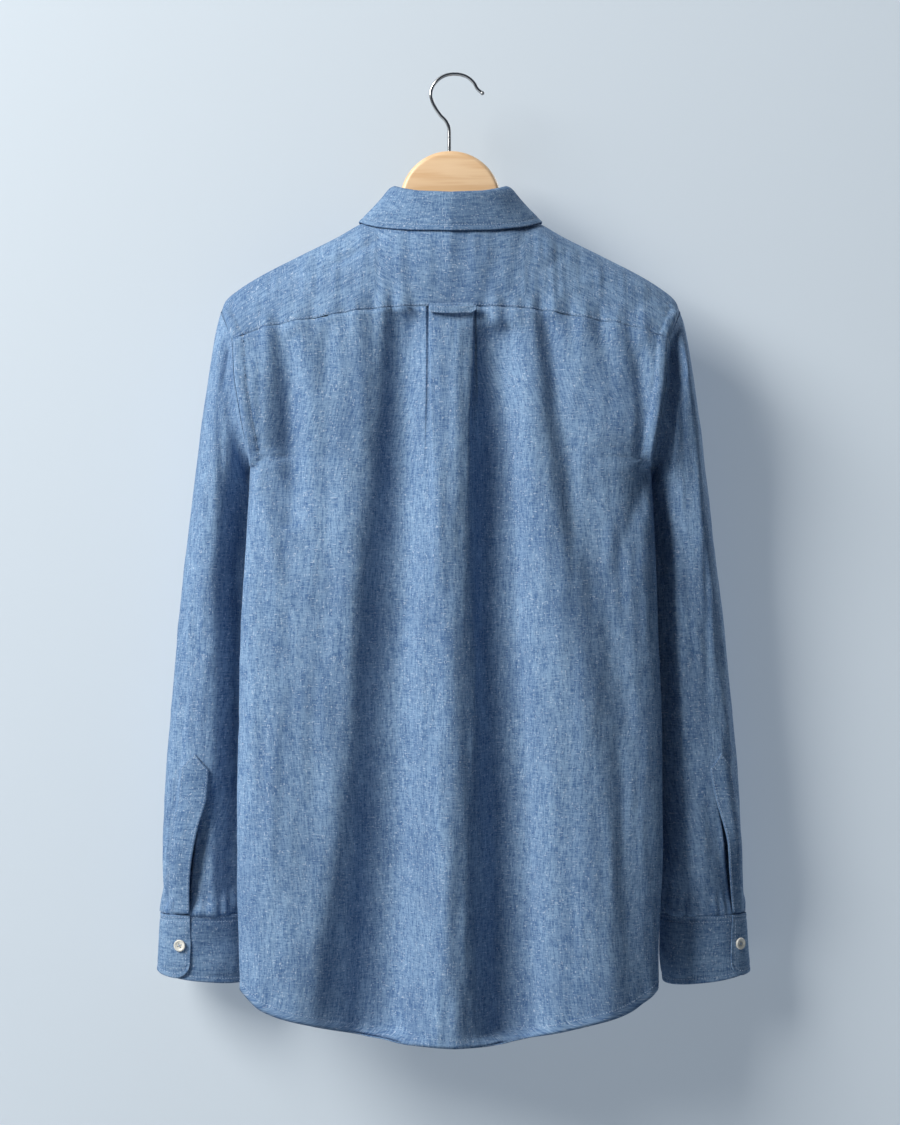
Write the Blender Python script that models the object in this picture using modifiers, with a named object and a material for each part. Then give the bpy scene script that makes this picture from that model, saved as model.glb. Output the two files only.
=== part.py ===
"""Chambray shirt on a flat wooden hanger, seen squarely from its back.

Metres, +Z up. The origin is the inside top of the hanger's hook, where a peg or
rail carries it. The shirt's back faces -Y and its front faces +Y. The wearer's left
is at -X. The tables and the surface functions below are in millimetres, and MM turns
them into metres when a mesh is made.
"""

from collections import namedtuple
from math import cos, exp, pi, radians, sin, sqrt

import bmesh
import bpy
from mathutils import Vector

MM = 0.001

# ----------------------------------------------------------------- driving sizes
CLOTH = 1.2                 # wall of a single panel
COLLAR_CLOTH = 1.5          # wall of the turned-down collar
SEAM_GAP = 0.6              # drop from one panel's edge to the next at a seam
SIDE_SEAM_GAP = 0.9         # space between back and front at the side seams
SLEEVE_GAP = 1.2            # space between the armhole edge and the sleeve head
CENTRE_X = -3.6             # the shirt's centre line, beside the hook's contact point

HANGER_THICKNESS = 12.0
HANGER_EDGE_ROUND = 4.6
HANGER_REACH = 200.0        # half length of the hanger
HANGER_HEAD_RADIUS = 49.0
HANGER_HEAD_TOP = -73.0
HANGER_ARM_HEIGHT = 32.4
HANGER_NECK_DIP = 4.0       # the wood lies lower than the cloth beside the neck
HANGER_REST_GAP = 2.0       # from the cloth's inside down to the wood's edge
HANGER_END_RADIUS = 11.0
HANGER_END_IN = 11.5        # the end's centre from the tip
HANGER_END_DROP = 15.0      # the end's centre below the arm's upper edge
HOOK_WIRE = 3.4

BUTTON_DIAMETER = 11.5
BUTTON_THICKNESS = 2.6
BUTTON_SIDES = 12
BUTTON_GAP = 0.4            # from the cloth to a button's back
BUTTON_DISH = 0.5

NECK_HALF_WIDTH = 72.0
NECK_SHOULDER_Z = -137.0
NECK_BACK_DROP = 10.0
NECK_FRONT_DROP = 53.0
NECK_SEAM_RISE = 0.9        # from the neckline up to the collar stand

SHOULDER_ROUND = 110.0      # height over which the cloth rounds off the hanger
SHOULDER_POWER = 0.667
BACK_SECTION_POWER = 2.6
FRONT_SECTION_POWER = 2.1

ARMHOLE_TOP_Z = -228.0
ARMHOLE_LOW_Z = -379.0
ARMHOLE_BACK_DEPTH = 46.0
ARMHOLE_FRONT_DEPTH = 42.0
ARMHOLE_LEAN = -12.0        # the underarm lies this far towards the back
ARMHOLE_POWER = 2.3
BACK_YOKE_CORNER_Z = -258.0
FRONT_YOKE_CORNER_Z = -256.0
FRONT_YOKE_DROP = 24.0

FRONT_LAP = 15.0            # each front passes the centre line by this much
FRONT_LAP_RISE = 1.9        # the upper front lies this far outside the lower one

PLEAT_LEFT = -19.7
PLEAT_RIGHT = 21.6
PLEAT_UNDERLAP = 11.0
PLEAT_BED = -1.4            # the pleat's under layer, from the panel's surface
PLEAT_GAP = 0.8
PLEAT_MARGIN = 7.0          # from the pleat's edge out to the flat panel

SLEEVE_POWER = 2.2
SLIT_TOP_ROW = 9.9
SLIT_UNDER_TURN = 6.0       # the slit lies this far under the placket's free edge
SLIT_HALF_TURN = 1.9
SLIT_OVER_RISE = 1.8
SLIT_UNDER_SINK = 3.0

PLACKET_TURN = 34.0         # width of the placket round the sleeve
PLACKET_LIFT = 0.5
PLACKET_EDGE_LIFT = 0.8     # its free edge stands this much further off the sleeve
PLACKET_POINT_Z = -657.0
PLACKET_CORNER_Z = -671.0
PLACKET_END_Z = -810.2

LOOP_HALF_LENGTH = 22.5
LOOP_CENTRE_X = 2.7
LOOP_WIDTH = 7.0
LOOP_BOW = 3.2
LOOP_SAG = 1.4
LOOP_GAP = 0.4              # from the pleat to the loop's ends

# ------------------------------------------------------------- tables (millimetres)
Level = namedtuple("Level", "height value")
Across = namedtuple("Across", "half_width height")

SHOULDER_RIDGE = (
    Across(0.0, -104.0), Across(40.0, -121.0), Across(72.0, -137.0), Across(88.0, -144.0),
    Across(108.0, -155.5), Across(145.0, -174.0), Across(184.0, -194.0),
    Across(206.0, -208.0), Across(216.7, -217.6), Across(221.5, -228.0),
)
HALF_WIDTH = (
    Level(-228.0, 221.5), Level(-243.0, 214.5), Level(-259.0, 208.2), Level(-296.0, 205.3),
    Level(-329.0, 200.0), Level(-379.0, 193.0), Level(-440.0, 195.5), Level(-500.0, 198.0),
    Level(-590.0, 200.0), Level(-730.0, 200.5), Level(-800.0, 198.5), Level(-848.0, 196.5),
    Level(-930.0, 194.0),
)
EDGE_DEPTH = (
    Level(-379.0, 12.0), Level(-410.0, 17.0), Level(-450.0, 21.0), Level(-500.0, 22.0),
    Level(-930.0, 22.0),
)
BACK_DEPTH = (
    Level(-104.0, 50.0), Level(-230.0, 52.0), Level(-300.0, 56.0), Level(-379.0, 61.0),
    Level(-500.0, 68.0), Level(-700.0, 73.0), Level(-930.0, 78.0),
)
FRONT_DEPTH = (
    Level(-104.0, 42.0), Level(-230.0, 43.0), Level(-379.0, 41.0), Level(-500.0, 38.0),
    Level(-700.0, 38.0), Level(-930.0, 40.0),
)
YOKE_SEAM = (
    Across(0.0, -227.5), Across(38.0, -227.8), Across(79.0, -230.5), Across(130.0, -238.5),
    Across(176.0, -246.5), Across(208.5, -258.0),
)
BACK_HEM = (
    Across(0.0, -926.5), Across(36.0, -922.5), Across(66.0, -917.5), Across(103.0, -912.5),
    Across(140.0, -904.5), Across(165.0, -895.5), Across(182.0, -885.0), Across(196.0, -871.0),
)
FRONT_HEM = (
    Across(0.0, -906.0), Across(60.0, -904.0), Across(110.0, -898.0), Across(150.0, -888.0),
    Across(182.0, -877.0), Across(196.0, -871.0),
)

# A soft fold: its centre line at three heights and its rise (a trough is negative).
Fold = namedtuple("Fold", "name high_x middle_x low_x high_rise middle_rise low_rise width")
FOLD_HIGH_Z = -363.0
FOLD_MIDDLE_Z = -699.0
FOLD_LOW_Z = -891.0
BACK_FOLDS = (
    Fold("left ridge", -90.0, -101.0, -138.0, 4.5, 9.0, 10.0, 30.0),
    Fold("left trough", -51.0, -62.0, -68.0, -3.0, -6.0, -6.0, 20.0),
    Fold("centre ridge", 4.0, 4.0, 5.0, 1.0, 9.0, 12.0, 26.0),
    Fold("right trough", 42.0, 59.0, 73.0, -4.5, -7.0, -7.0, 20.0),
    Fold("right ridge", 86.0, 134.0, 143.0, 4.5, 8.0, 10.0, 30.0),
    Fold("left armhole trough", -150.0, -160.0, -172.0, -4.0, -2.0, 0.0, 18.0),
    Fold("right armhole trough", 118.0, 168.0, 176.0, -4.0, -2.0, 0.0, 18.0),
)
FRONT_FOLDS = (
    Fold("left front ridge", -78.0, -92.0, -104.0, 2.0, 7.0, 9.0, 26.0),
    Fold("left front trough", -40.0, -46.0, -52.0, -1.0, -4.0, -5.0, 18.0),
    Fold("right front ridge", 70.0, 88.0, 96.0, 2.0, 7.0, 8.0, 26.0),
    Fold("right front trough", 38.0, 44.0, 50.0, -1.0, -4.0, -5.0, 18.0),
    Fold("left side trough", -128.0, -140.0, -148.0, -1.0, -4.0, -5.0, 18.0),
    Fold("right side trough", 118.0, 134.0, 146.0, -1.0, -4.0, -5.0, 18.0),
)

# A sleeve section from its outer to its inner point. Row 0 is the armhole.
SleeveSection = namedtuple("SleeveSection", "row outer_x outer_z inner_x inner_z centre_y depth")
SLEEVE_SECTIONS = (
    SleeveSection(0, 221.5, -228.0, 193.0, -379.0, -3.0, 44.0),
    SleeveSection(1, 226.5, -247.0, 198.0, -385.0, 0.0, 45.0),
    SleeveSection(2, 231.0, -271.0, 200.0, -394.0, 4.5, 45.0),
    SleeveSection(3, 236.5, -303.0, 198.0, -408.0, 10.0, 44.0),
    SleeveSection(4, 243.0, -345.0, 192.0, -428.0, 16.0, 43.0),
    SleeveSection(5, 249.5, -395.0, 186.5, -458.0, 21.0, 42.0),
    SleeveSection(6, 256.5, -452.0, 183.5, -498.0, 24.5, 41.0),
    SleeveSection(7, 263.5, -512.0, 183.0, -545.0, 26.0, 41.0),
    SleeveSection(8, 269.0, -575.0, 184.0, -597.0, 26.5, 40.0),
    SleeveSection(9, 275.0, -640.0, 186.5, -652.0, 26.5, 40.0),
    SleeveSection(10, 279.5, -700.0, 189.5, -705.0, 26.5, 39.0),
    SleeveSection(11, 281.0, -755.0, 194.0, -758.0, 26.0, 36.0),
    SleeveSection(12, 281.5, -810.0, 199.5, -811.0, 25.0, 29.0),
)
# How far each sleeve's lower end lies to the right of its mirrored place.
SleeveShift = namedtuple("SleeveShift", "height left right")
SLEEVE_SHIFTS = (
    SleeveShift(-450.0, 0.0, 0.0), SleeveShift(-650.0, 0.0, 1.0), SleeveShift(-880.0, 0.5, 5.0),
)
# The placket's free edge, as an angle round the sleeve from its outer point.
SlitTurn = namedtuple("SlitTurn", "height left right")
SLIT_TURNS = (
    SlitTurn(-600.0, 90.0, 71.0), SlitTurn(-671.0, 90.5, 71.5), SlitTurn(-698.0, 90.0, 69.0),
    SlitTurn(-722.0, 84.4, 63.0), SlitTurn(-742.0, 80.7, 59.0), SlitTurn(-765.0, 77.7, 58.0),
    SlitTurn(-788.0, 76.5, 55.0), SlitTurn(-812.0, 77.0, 51.0),
)
# A trough along a sleeve: its turn at three heights, depth at the lowest, and width in turn.
SleeveFold = namedtuple("SleeveFold", "side high_turn middle_turn low_turn middle_rise low_rise width")
SLEEVE_FOLD_HIGH_Z = -420.0
SLEEVE_FOLD_MIDDLE_Z = -640.0
SLEEVE_FOLD_LOW_Z = -790.0
SLEEVE_FOLDS = (
    SleeveFold(-1, 60.0, 50.0, 35.0, -0.6, -3.4, 7.0),
    SleeveFold(-1, 115.0, 112.0, 118.0, -2.0, -2.5, 16.0),
    SleeveFold(-1, 250.0, 245.0, 240.0, -3.0, -2.0, 16.0),
    SleeveFold(1, 55.0, 45.0, 22.0, -0.8, -2.4, 8.0),
    SleeveFold(1, 120.0, 116.0, 122.0, -2.2, -2.5, 16.0),
    SleeveFold(1, 255.0, 250.0, 240.0, -3.0, -2.0, 16.0),
)

# The collar's fold line and the edge of its fall, round from the centre back.
FoldLine = namedtuple("FoldLine", "turn height")
COLLAR_FOLD = (
    FoldLine(0.0, -114.6), FoldLine(30.0, -113.6), FoldLine(55.0, -111.0),
    FoldLine(80.0, -108.5), FoldLine(95.0, -110.5), FoldLine(120.0, -124.0),
    FoldLine(150.0, -147.0), FoldLine(172.0, -158.0), FoldLine(180.0, -158.5),
)
FallEdge = namedtuple("FallEdge", "turn x height")
COLLAR_EDGE = (
    FallEdge(0.0, 0.0, -153.0), FallEdge(25.0, 36.0, -152.0), FallEdge(50.0, 66.0, -149.5),
    FallEdge(70.0, 81.0, -147.0), FallEdge(90.0, 88.0, -144.0), FallEdge(108.0, 84.0, -151.0),
    FallEdge(126.0, 77.0, -170.0), FallEdge(145.0, 67.0, -198.0), FallEdge(160.0, 58.0, -222.0),
)
COLLAR_FOLD_HALF_WIDTH = 55.5
COLLAR_FOLD_HALF_DEPTH = 34.0
COLLAR_FOLD_CENTRE_Y = 3.0
COLLAR_FRONT_TURN = 172.0
COLLAR_CLEARANCE = 2.8      # from the panels' face to the fall's outer face
COLLAR_ROLL = 3.2           # how far the fall bulges out over the stand
COLLAR_ROLL_RISE = 0.6
COLLAR_ROLL_SHARE = 0.05
STAND_DROP = 2.8            # from the fold line down to the stand's top
STAND_FRONT_DROP = 4.8
STAND_END_TURN = 188.0      # the stand's ends pass the centre front by 8 degrees
STAND_LAP_RISE = 2.2

CUFF_TOP_Z = -811.8
CuffSection = namedtuple("CuffSection", "drop outer_x inner_x depth")
CUFF_SECTIONS = (
    CuffSection(0.0, 283.5, 199.5, 30.0), CuffSection(0.5, 285.0, 199.5, 30.5),
    CuffSection(1.0, 287.0, 202.0, 31.0),
)
CUFF_CENTRE_Y = 25.0
CUFF_LAP_TURN = 34.0        # the upper end covers the under end by this much
CUFF_LAP_RISE = 1.9
CUFF_CORNER_ROUND = 16.0
CUFF_CORNER_TURN = 23.0
CUFF_BUTTON_BACK = 13.5     # from the upper end back to the button
CUFF_BUTTON_Z = -841.0
CUFF_LOW_Z = -872.0
CUFF_OUTER_RISE = 6.0       # the lower edge is this much higher at the outer side
CUFF_BACK_DROP = 4.5
# Where the upper end of each cuff stops, at its top and its lower edge.
CuffEnd = namedtuple("CuffEnd", "side top_turn low_turn")
CUFF_ENDS = (CuffEnd(-1, 78.0, 81.0), CuffEnd(1, 52.5, 62.0))

# Points of the hook's wire: across and height from the contact point.
HookPoint = namedtuple("HookPoint", "x z")
HOOK_ROUTE = (
    HookPoint(-4.8, -72.4), HookPoint(-4.8, -58.0), HookPoint(-5.2, -49.8),
    HookPoint(-8.6, -43.2), HookPoint(-13.7, -37.8), HookPoint(-19.7, -28.4),
    HookPoint(-22.7, -19.0), HookPoint(-21.2, -11.0), HookPoint(-15.8, -4.0),
    HookPoint(-8.4, 0.4), HookPoint(0.0, 1.7), HookPoint(8.2, 0.6),
    HookPoint(14.6, -2.6), HookPoint(19.4, -7.4), HookPoint(22.6, -13.0), HookPoint(27.0, -16.6),
)

Finish = namedtuple("Finish", "colour roughness metallic")
CHAMBRAY = Finish((0.150, 0.262, 0.450), 0.9, 0.0)
CHAMBRAY_SLEEVE = Finish((0.140, 0.250, 0.435), 0.9, 0.0)
CHAMBRAY_TRIM = Finish((0.170, 0.285, 0.470), 0.88, 0.0)
BUTTON_FINISH = Finish((0.80, 0.80, 0.76), 0.3, 0.0)
WOOD_FINISH = Finish((0.73, 0.50, 0.29), 0.45, 0.0)
WIRE_FINISH = Finish((0.62, 0.63, 0.65), 0.22, 1.0)


# ------------------------------------------------------------------ small helpers
def curve_value(rows, key):
    """Smooth value through the (key, value) rows at a key, without overshoot."""
    points = sorted((float(row[0]), float(row[1])) for row in rows)
    if key <= points[0][0]:
        return points[0][1]
    if key >= points[-1][0]:
        return points[-1][1]
    last = len(points) - 1
    spot = max(i for i in range(last) if points[i][0] <= key)
    slopes = []
    for i in (spot, spot + 1):
        before = after = None
        if i > 0:
            before = (points[i][1] - points[i - 1][1]) / (points[i][0] - points[i - 1][0])
        if i < last:
            after = (points[i + 1][1] - points[i][1]) / (points[i + 1][0] - points[i][0])
        if before is None or after is None:
            slopes.append(after if before is None else before)
        elif before * after <= 0.0:
            slopes.append(0.0)
        else:
            slopes.append(2.0 * before * after / (before + after))
    span = points[spot + 1][0] - points[spot][0]
    t = (key - points[spot][0]) / span
    low, high = points[spot][1], points[spot + 1][1]
    return (
        low * (1.0 + 2.0 * t) * (1.0 - t) ** 2
        + slopes[0] * span * t * (1.0 - t) ** 2
        + high * t * t * (3.0 - 2.0 * t)
        - slopes[1] * span * t * t * (1.0 - t)
    )


def column(rows, key_name, value_name):
    """Two named columns of a table as (key, value) rows."""
    return [(getattr(row, key_name), getattr(row, value_name)) for row in rows]


def mix(start, end, share):
    """Value part of the way from start to end."""
    return start + (end - start) * share


def smooth_step(low, high, value):
    """Soft step from 0 at low to 1 at high."""
    share = min(max((value - low) / (high - low), 0.0), 1.0)
    return share * share * (3.0 - 2.0 * share)


def signed_power(value, power):
    """Power of a number that keeps its sign."""
    return (1.0 if value >= 0.0 else -1.0) * abs(value) ** power


def arch(share, power):
    """Height of a rounded arch over -1..1: 1 in the middle and 0 at the ends."""
    return max(0.0, 1.0 - min(abs(share), 1.0) ** power) ** (1.0 / power)


# --------------------------------------------------------------- the body's surface
def shoulder_z(x):
    """Height of the shoulder line at a distance from the centre."""
    return curve_value(SHOULDER_RIDGE, abs(x))


def half_width(z):
    """Half width of the body at a height: the armhole line, then the side."""
    return curve_value(HALF_WIDTH, z)


def armhole_share(z):
    """Share of the way down the armhole, 0 at the shoulder and 1 at the underarm."""
    return (ARMHOLE_TOP_Z - z) / (ARMHOLE_TOP_Z - ARMHOLE_LOW_Z)


def armhole_y(z, side):
    """Depth position of the armhole's edge; side is -1 at the back and 1 in front."""
    share = min(max(armhole_share(z), 0.0), 1.0)
    depth = ARMHOLE_BACK_DEPTH if side < 0 else ARMHOLE_FRONT_DEPTH
    return ARMHOLE_LEAN * share * share + side * depth * arch(2.0 * share - 1.0, ARMHOLE_POWER)


def edge_y(z, side):
    """Depth position of a panel's side edge, at the armhole or the side seam."""
    if z >= ARMHOLE_LOW_Z:
        return armhole_y(z, side)
    return -curve_value(EDGE_DEPTH, z)


def drape(x, z):
    """How far the cloth has rounded off the shoulder line, from 0 to 1."""
    fall = min(max((shoulder_z(x) - z) / SHOULDER_ROUND, 0.0), 1.0)
    return (1.0 - (1.0 - fall) ** 2) ** SHOULDER_POWER


def plain_depth(x, z, side):
    """Distance of the unfolded surface from the hanger's plane, towards its side."""
    table, power = (BACK_DEPTH, BACK_SECTION_POWER) if side < 0 else (FRONT_DEPTH, FRONT_SECTION_POWER)
    full = curve_value(table, z) * drape(x, z)
    edge = side * edge_y(z, side)
    share = min(abs(x) / half_width(z), 1.0)
    sides_count = smooth_step(ARMHOLE_TOP_Z, ARMHOLE_TOP_Z - 100.0, z)
    return full - (full - edge) * (1.0 - arch(share, power)) * sides_count


def fold_rise(x, z, folds):
    """Rise of the soft folds at a place on a panel."""
    total = 0.0
    strength = smooth_step(-235.0, FOLD_HIGH_Z, z)
    for fold in folds:
        line = ((FOLD_LOW_Z, fold.low_x), (FOLD_MIDDLE_Z, fold.middle_x), (FOLD_HIGH_Z, fold.high_x))
        rise = ((FOLD_LOW_Z, fold.low_rise), (FOLD_MIDDLE_Z, fold.middle_rise),
                (FOLD_HIGH_Z, fold.high_rise))
        away = (x - curve_value(line, z)) / fold.width
        if abs(away) < 3.0:
            total += curve_value(rise, z) * exp(-away * away)
    return total * strength


def body_y(x, z, side):
    """Depth position of the shirt's outer face at a place seen from behind."""
    depth = plain_depth(x, z, side)
    width = half_width(z)
    share = min(abs(x) / width, 1.0)
    if z < ARMHOLE_TOP_Z:
        wanted = side * edge_y(z, side)
        depth += (wanted - plain_depth(width, z, side)) * smooth_step(0.7, 1.0, share)
    folds = BACK_FOLDS if side < 0 else FRONT_FOLDS
    depth += fold_rise(x, z, folds) * (1.0 - share ** 6)
    return side * depth


def body_point(x, z, side):
    """Point of the shirt's outer face, in millimetres about the shirt's centre line."""
    return Vector((x, body_y(x, z, side), z))


def body_normal(x, z, side):
    """Outward direction of the shirt's outer face."""
    step = 1.0
    across = (body_y(x + step, z, side) - body_y(x - step, z, side)) / (2.0 * step)
    down = (body_y(x, z, side) - body_y(x, z - step, side)) / step
    return Vector((-side * across, side, -side * down)).normalized()


def neck_z(x, side):
    """Height of the neckline at a distance from the centre."""
    drop = NECK_BACK_DROP if side < 0 else NECK_FRONT_DROP
    return NECK_SHOULDER_Z - drop * sqrt(max(0.0, 1.0 - (x / NECK_HALF_WIDTH) ** 2))


def front_seam_z(x):
    """Height of the yoke's front seam at a distance from the centre."""
    inner = NECK_HALF_WIDTH * sqrt(1.0 - (FRONT_YOKE_DROP / NECK_FRONT_DROP) ** 2)
    outer = half_width(FRONT_YOKE_CORNER_Z)
    start = NECK_SHOULDER_Z - FRONT_YOKE_DROP
    share = min(max((abs(x) - inner) / (outer - inner), 0.0), 1.0)
    return mix(start, FRONT_YOKE_CORNER_Z, share)


# -------------------------------------------------------------------- making meshes
def paint(name, finish):
    """Principled material with one finish."""
    material = bpy.data.materials.new(name)
    material.use_nodes = True
    shader = material.node_tree.nodes["Principled BSDF"]
    shader.inputs["Base Color"].default_value = (*finish.colour, 1.0)
    shader.inputs["Roughness"].default_value = finish.roughness
    shader.inputs["Metallic"].default_value = finish.metallic
    return material


def place(point):
    """A point about the shirt's centre line, in millimetres, as metres in the frame."""
    return Vector(((point.x + CENTRE_X) * MM, point.y * MM, point.z * MM))


def finish_object(mesh, name, finish, collection):
    """Object for a mesh, with its own material, in the collection."""
    mesh.shade_smooth()
    mesh.set_sharp_from_angle(angle=radians(50.0))
    mesh.materials.append(paint(name + "_finish", finish))
    made = bpy.data.objects.new(name, mesh)
    collection.objects.link(made)
    return made


def cloth_panel(name, grids, outside, wall, finish, collection):
    """Cloth wall whose outer face runs through grids of points.

    outside gives the outward direction at a point, and joined grids share points.
    """
    frame = bmesh.new()
    for grid in grids:
        rows = [[frame.verts.new(place(point)) for point in row] for row in grid]
        for upper, lower in zip(rows, rows[1:]):
            for i in range(len(upper) - 1):
                frame.faces.new((upper[i], upper[i + 1], lower[i + 1], lower[i]))
    bmesh.ops.remove_doubles(frame, verts=frame.verts, dist=0.00001)
    bmesh.ops.recalc_face_normals(frame, faces=frame.faces)
    facing = 0.0
    for face in frame.faces:
        centre = face.calc_center_median() / MM
        centre.x -= CENTRE_X
        facing += face.normal.dot(outside(centre)) * face.calc_area()
    if facing < 0.0:
        bmesh.ops.reverse_faces(frame, faces=frame.faces)
    bmesh.ops.triangulate(frame, faces=frame.faces, quad_method="FIXED")
    mesh = bpy.data.meshes.new(name)
    frame.to_mesh(mesh)
    frame.free()
    panel = finish_object(mesh, name, finish, collection)
    solid = panel.modifiers.new("wall", "SOLIDIFY")
    solid.thickness = wall * MM
    solid.offset = -1.0
    return panel


def steps(count):
    """Even shares from 0 to 1."""
    return [i / count for i in range(count + 1)]


# ------------------------------------------------------------------------- the yoke
YOKE_BACK_SHARES = (0.0, 0.035, 0.12, 0.28, 0.5, 0.75, 1.0)
YOKE_FRONT_SHARES = (0.0, 0.05, 0.2, 0.52, 1.0)


def yoke_back_point(top_x, top_z, low_x, share, sign):
    """Point of the yoke's back between its top and its seam."""
    x = mix(top_x, low_x, share)
    z = mix(top_z, curve_value(YOKE_SEAM, abs(low_x)), share)
    return body_point(sign * x, z, -1)


def build_yoke(collection):
    """Yoke over both shoulders, from the front seams to the back seam."""
    grids = []
    corner = YOKE_SEAM[-1].half_width
    tip = SHOULDER_RIDGE[-1].half_width
    for sign in (-1, 1):
        shoulder_back = []
        shoulder_front = []
        for along in steps(10):
            top_x = mix(NECK_HALF_WIDTH, tip, along)
            top_z = shoulder_z(top_x)
            low_x = mix(NECK_HALF_WIDTH, corner, along)
            shoulder_back.append(
                [yoke_back_point(top_x, top_z, low_x, share, sign) for share in YOKE_BACK_SHARES])
            front = []
            for share in YOKE_FRONT_SHARES:
                drop = FRONT_YOKE_DROP * share
                neck_x = NECK_HALF_WIDTH * sqrt(1.0 - (drop / NECK_FRONT_DROP) ** 2)
                arm_z = mix(ARMHOLE_TOP_Z, FRONT_YOKE_CORNER_Z, share)
                x = mix(neck_x, half_width(arm_z), along) if along < 1.0 else half_width(arm_z)
                seam_x = mix(NECK_HALF_WIDTH * sqrt(1.0 - (FRONT_YOKE_DROP / NECK_FRONT_DROP) ** 2),
                             half_width(FRONT_YOKE_CORNER_Z), along)
                z = mix(top_z, front_seam_z(seam_x), share)
                front.append(body_point(sign * x, z, 1))
            shoulder_front.append(front)
        grids.append(shoulder_back)
        grids.append(shoulder_front)
    middle = []
    for along in steps(12):
        x = NECK_HALF_WIDTH * -cos(pi * along)
        middle.append([yoke_back_point(x, neck_z(x, -1), x, share, 1) for share in YOKE_BACK_SHARES])
    grids.append(middle)

    def outside(point):
        return Vector((0.0, point.y, 12.0))

    return cloth_panel("yoke", grids, outside, CLOTH, CHAMBRAY, collection)


# ------------------------------------------------------------------- back and fronts
ARMHOLE_BACK_LEVELS = 8
ARMHOLE_FRONT_LEVELS = 7
BACK_LOWER_LEVELS = 13
FRONT_LOWER_LEVELS = 12
HEM_CORNER_Z = BACK_HEM[-1].height


def panel_shares(corner_z, armhole_levels, lower_levels):
    """Shares down a panel's side edge, closer together towards the underarm."""
    armhole_part = (corner_z - ARMHOLE_LOW_Z) / (corner_z - HEM_CORNER_Z)
    upper = [armhole_part * sin(pi / 2.0 * share) for share in steps(armhole_levels)]
    lower = [mix(armhole_part, 1.0, share) for share in steps(lower_levels)]
    return upper + lower[1:]


# One column of the pleat: folded and open place, each across and out from the panel.
PleatColumn = namedtuple("PleatColumn", "folded_in folded_rise open_in open_rise")
PLEAT_TOP_RISE = PLEAT_BED + PLEAT_GAP + CLOTH + PLEAT_GAP + CLOTH
PLEAT_COLUMNS = (
    PleatColumn(-1.8, -1.1, -5.2, 0.1),
    PleatColumn(PLEAT_UNDERLAP, PLEAT_BED, -3.4, 0.2),
    PleatColumn(PLEAT_UNDERLAP + 0.7, PLEAT_BED + PLEAT_GAP / 2.0, -1.7, 0.6),
    PleatColumn(PLEAT_UNDERLAP, PLEAT_BED + PLEAT_GAP, 0.0, 1.3),
    PleatColumn(0.5, PLEAT_BED + PLEAT_GAP, 1.2, 2.6),
    PleatColumn(-1.0, (PLEAT_BED + PLEAT_GAP + PLEAT_TOP_RISE) / 2.0, 2.6, 4.2),
    PleatColumn(0.5, PLEAT_TOP_RISE, 4.6, 5.4),
    PleatColumn(7.5, PLEAT_TOP_RISE, 8.5, 5.6),
)
PleatSide = namedtuple("PleatSide", "edge inward closed_z open_z flat_z")
PLEAT_SIDES = (
    PleatSide(PLEAT_LEFT, 1, -262.0, -440.0, -640.0),
    PleatSide(PLEAT_RIGHT, -1, -275.0, -520.0, -760.0),
)


def pleat_point(side, spot, z):
    """Point of a pleat column at a height."""
    opened = smooth_step(side.closed_z, side.open_z, z)
    across = mix(spot.folded_in, spot.open_in, opened)
    rise = mix(spot.folded_rise, spot.open_rise, opened) * (1.0 - smooth_step(side.open_z, side.flat_z, z))
    point = body_point(side.edge + side.inward * across, z, -1)
    point.y -= rise
    return point


def build_back(collection):
    """Back panel with its box pleat, from the yoke seam to the shirt-tail hem."""
    left, right = PLEAT_SIDES
    gap_left = left.edge - left.inward * PLEAT_MARGIN
    gap_right = right.edge - right.inward * PLEAT_MARGIN
    arcs = [sin(pi / 2.0 * share) for share in steps(12)]
    grid = []
    for share in panel_shares(BACK_YOKE_CORNER_Z, ARMHOLE_BACK_LEVELS, BACK_LOWER_LEVELS):
        edge_z = mix(BACK_YOKE_CORNER_Z, HEM_CORNER_Z, share)
        row = []

        def height(x_top, x_low):
            top = curve_value(YOKE_SEAM, abs(x_top)) - SEAM_GAP
            return mix(top, curve_value(BACK_HEM, abs(x_low)), share)

        def flank(inner_x, sign):
            points = []
            for arc in arcs:
                x_top = mix(inner_x, sign * half_width(BACK_YOKE_CORNER_Z), arc)
                x_low = mix(inner_x, sign * half_width(HEM_CORNER_Z), arc)
                x = mix(inner_x, sign * half_width(edge_z), arc)
                point = body_point(x, height(x_top, x_low), -1)
                if arc == 1.0:
                    point = Vector((sign * half_width(edge_z), edge_y(edge_z, -1), edge_z))
                    if edge_z < ARMHOLE_LOW_Z + SEAM_GAP:
                        point.y -= SIDE_SEAM_GAP / 2.0
                    if share == 0.0:
                        point.z -= SEAM_GAP
                points.append(point)
            return points

        row.extend(reversed(flank(gap_left, -1)))
        for side, spots in ((left, PLEAT_COLUMNS), (right, PLEAT_COLUMNS[::-1])):
            for spot in spots:
                open_x = side.edge + side.inward * spot.open_in
                row.append(pleat_point(side, spot, height(open_x, open_x)))
        row.extend(flank(gap_right, 1))
        grid.append(row)

    def outside(point):
        return Vector((0.0, -1.0, 0.0))

    return cloth_panel("back_panel", [grid], outside, CLOTH, CHAMBRAY, collection)


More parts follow.
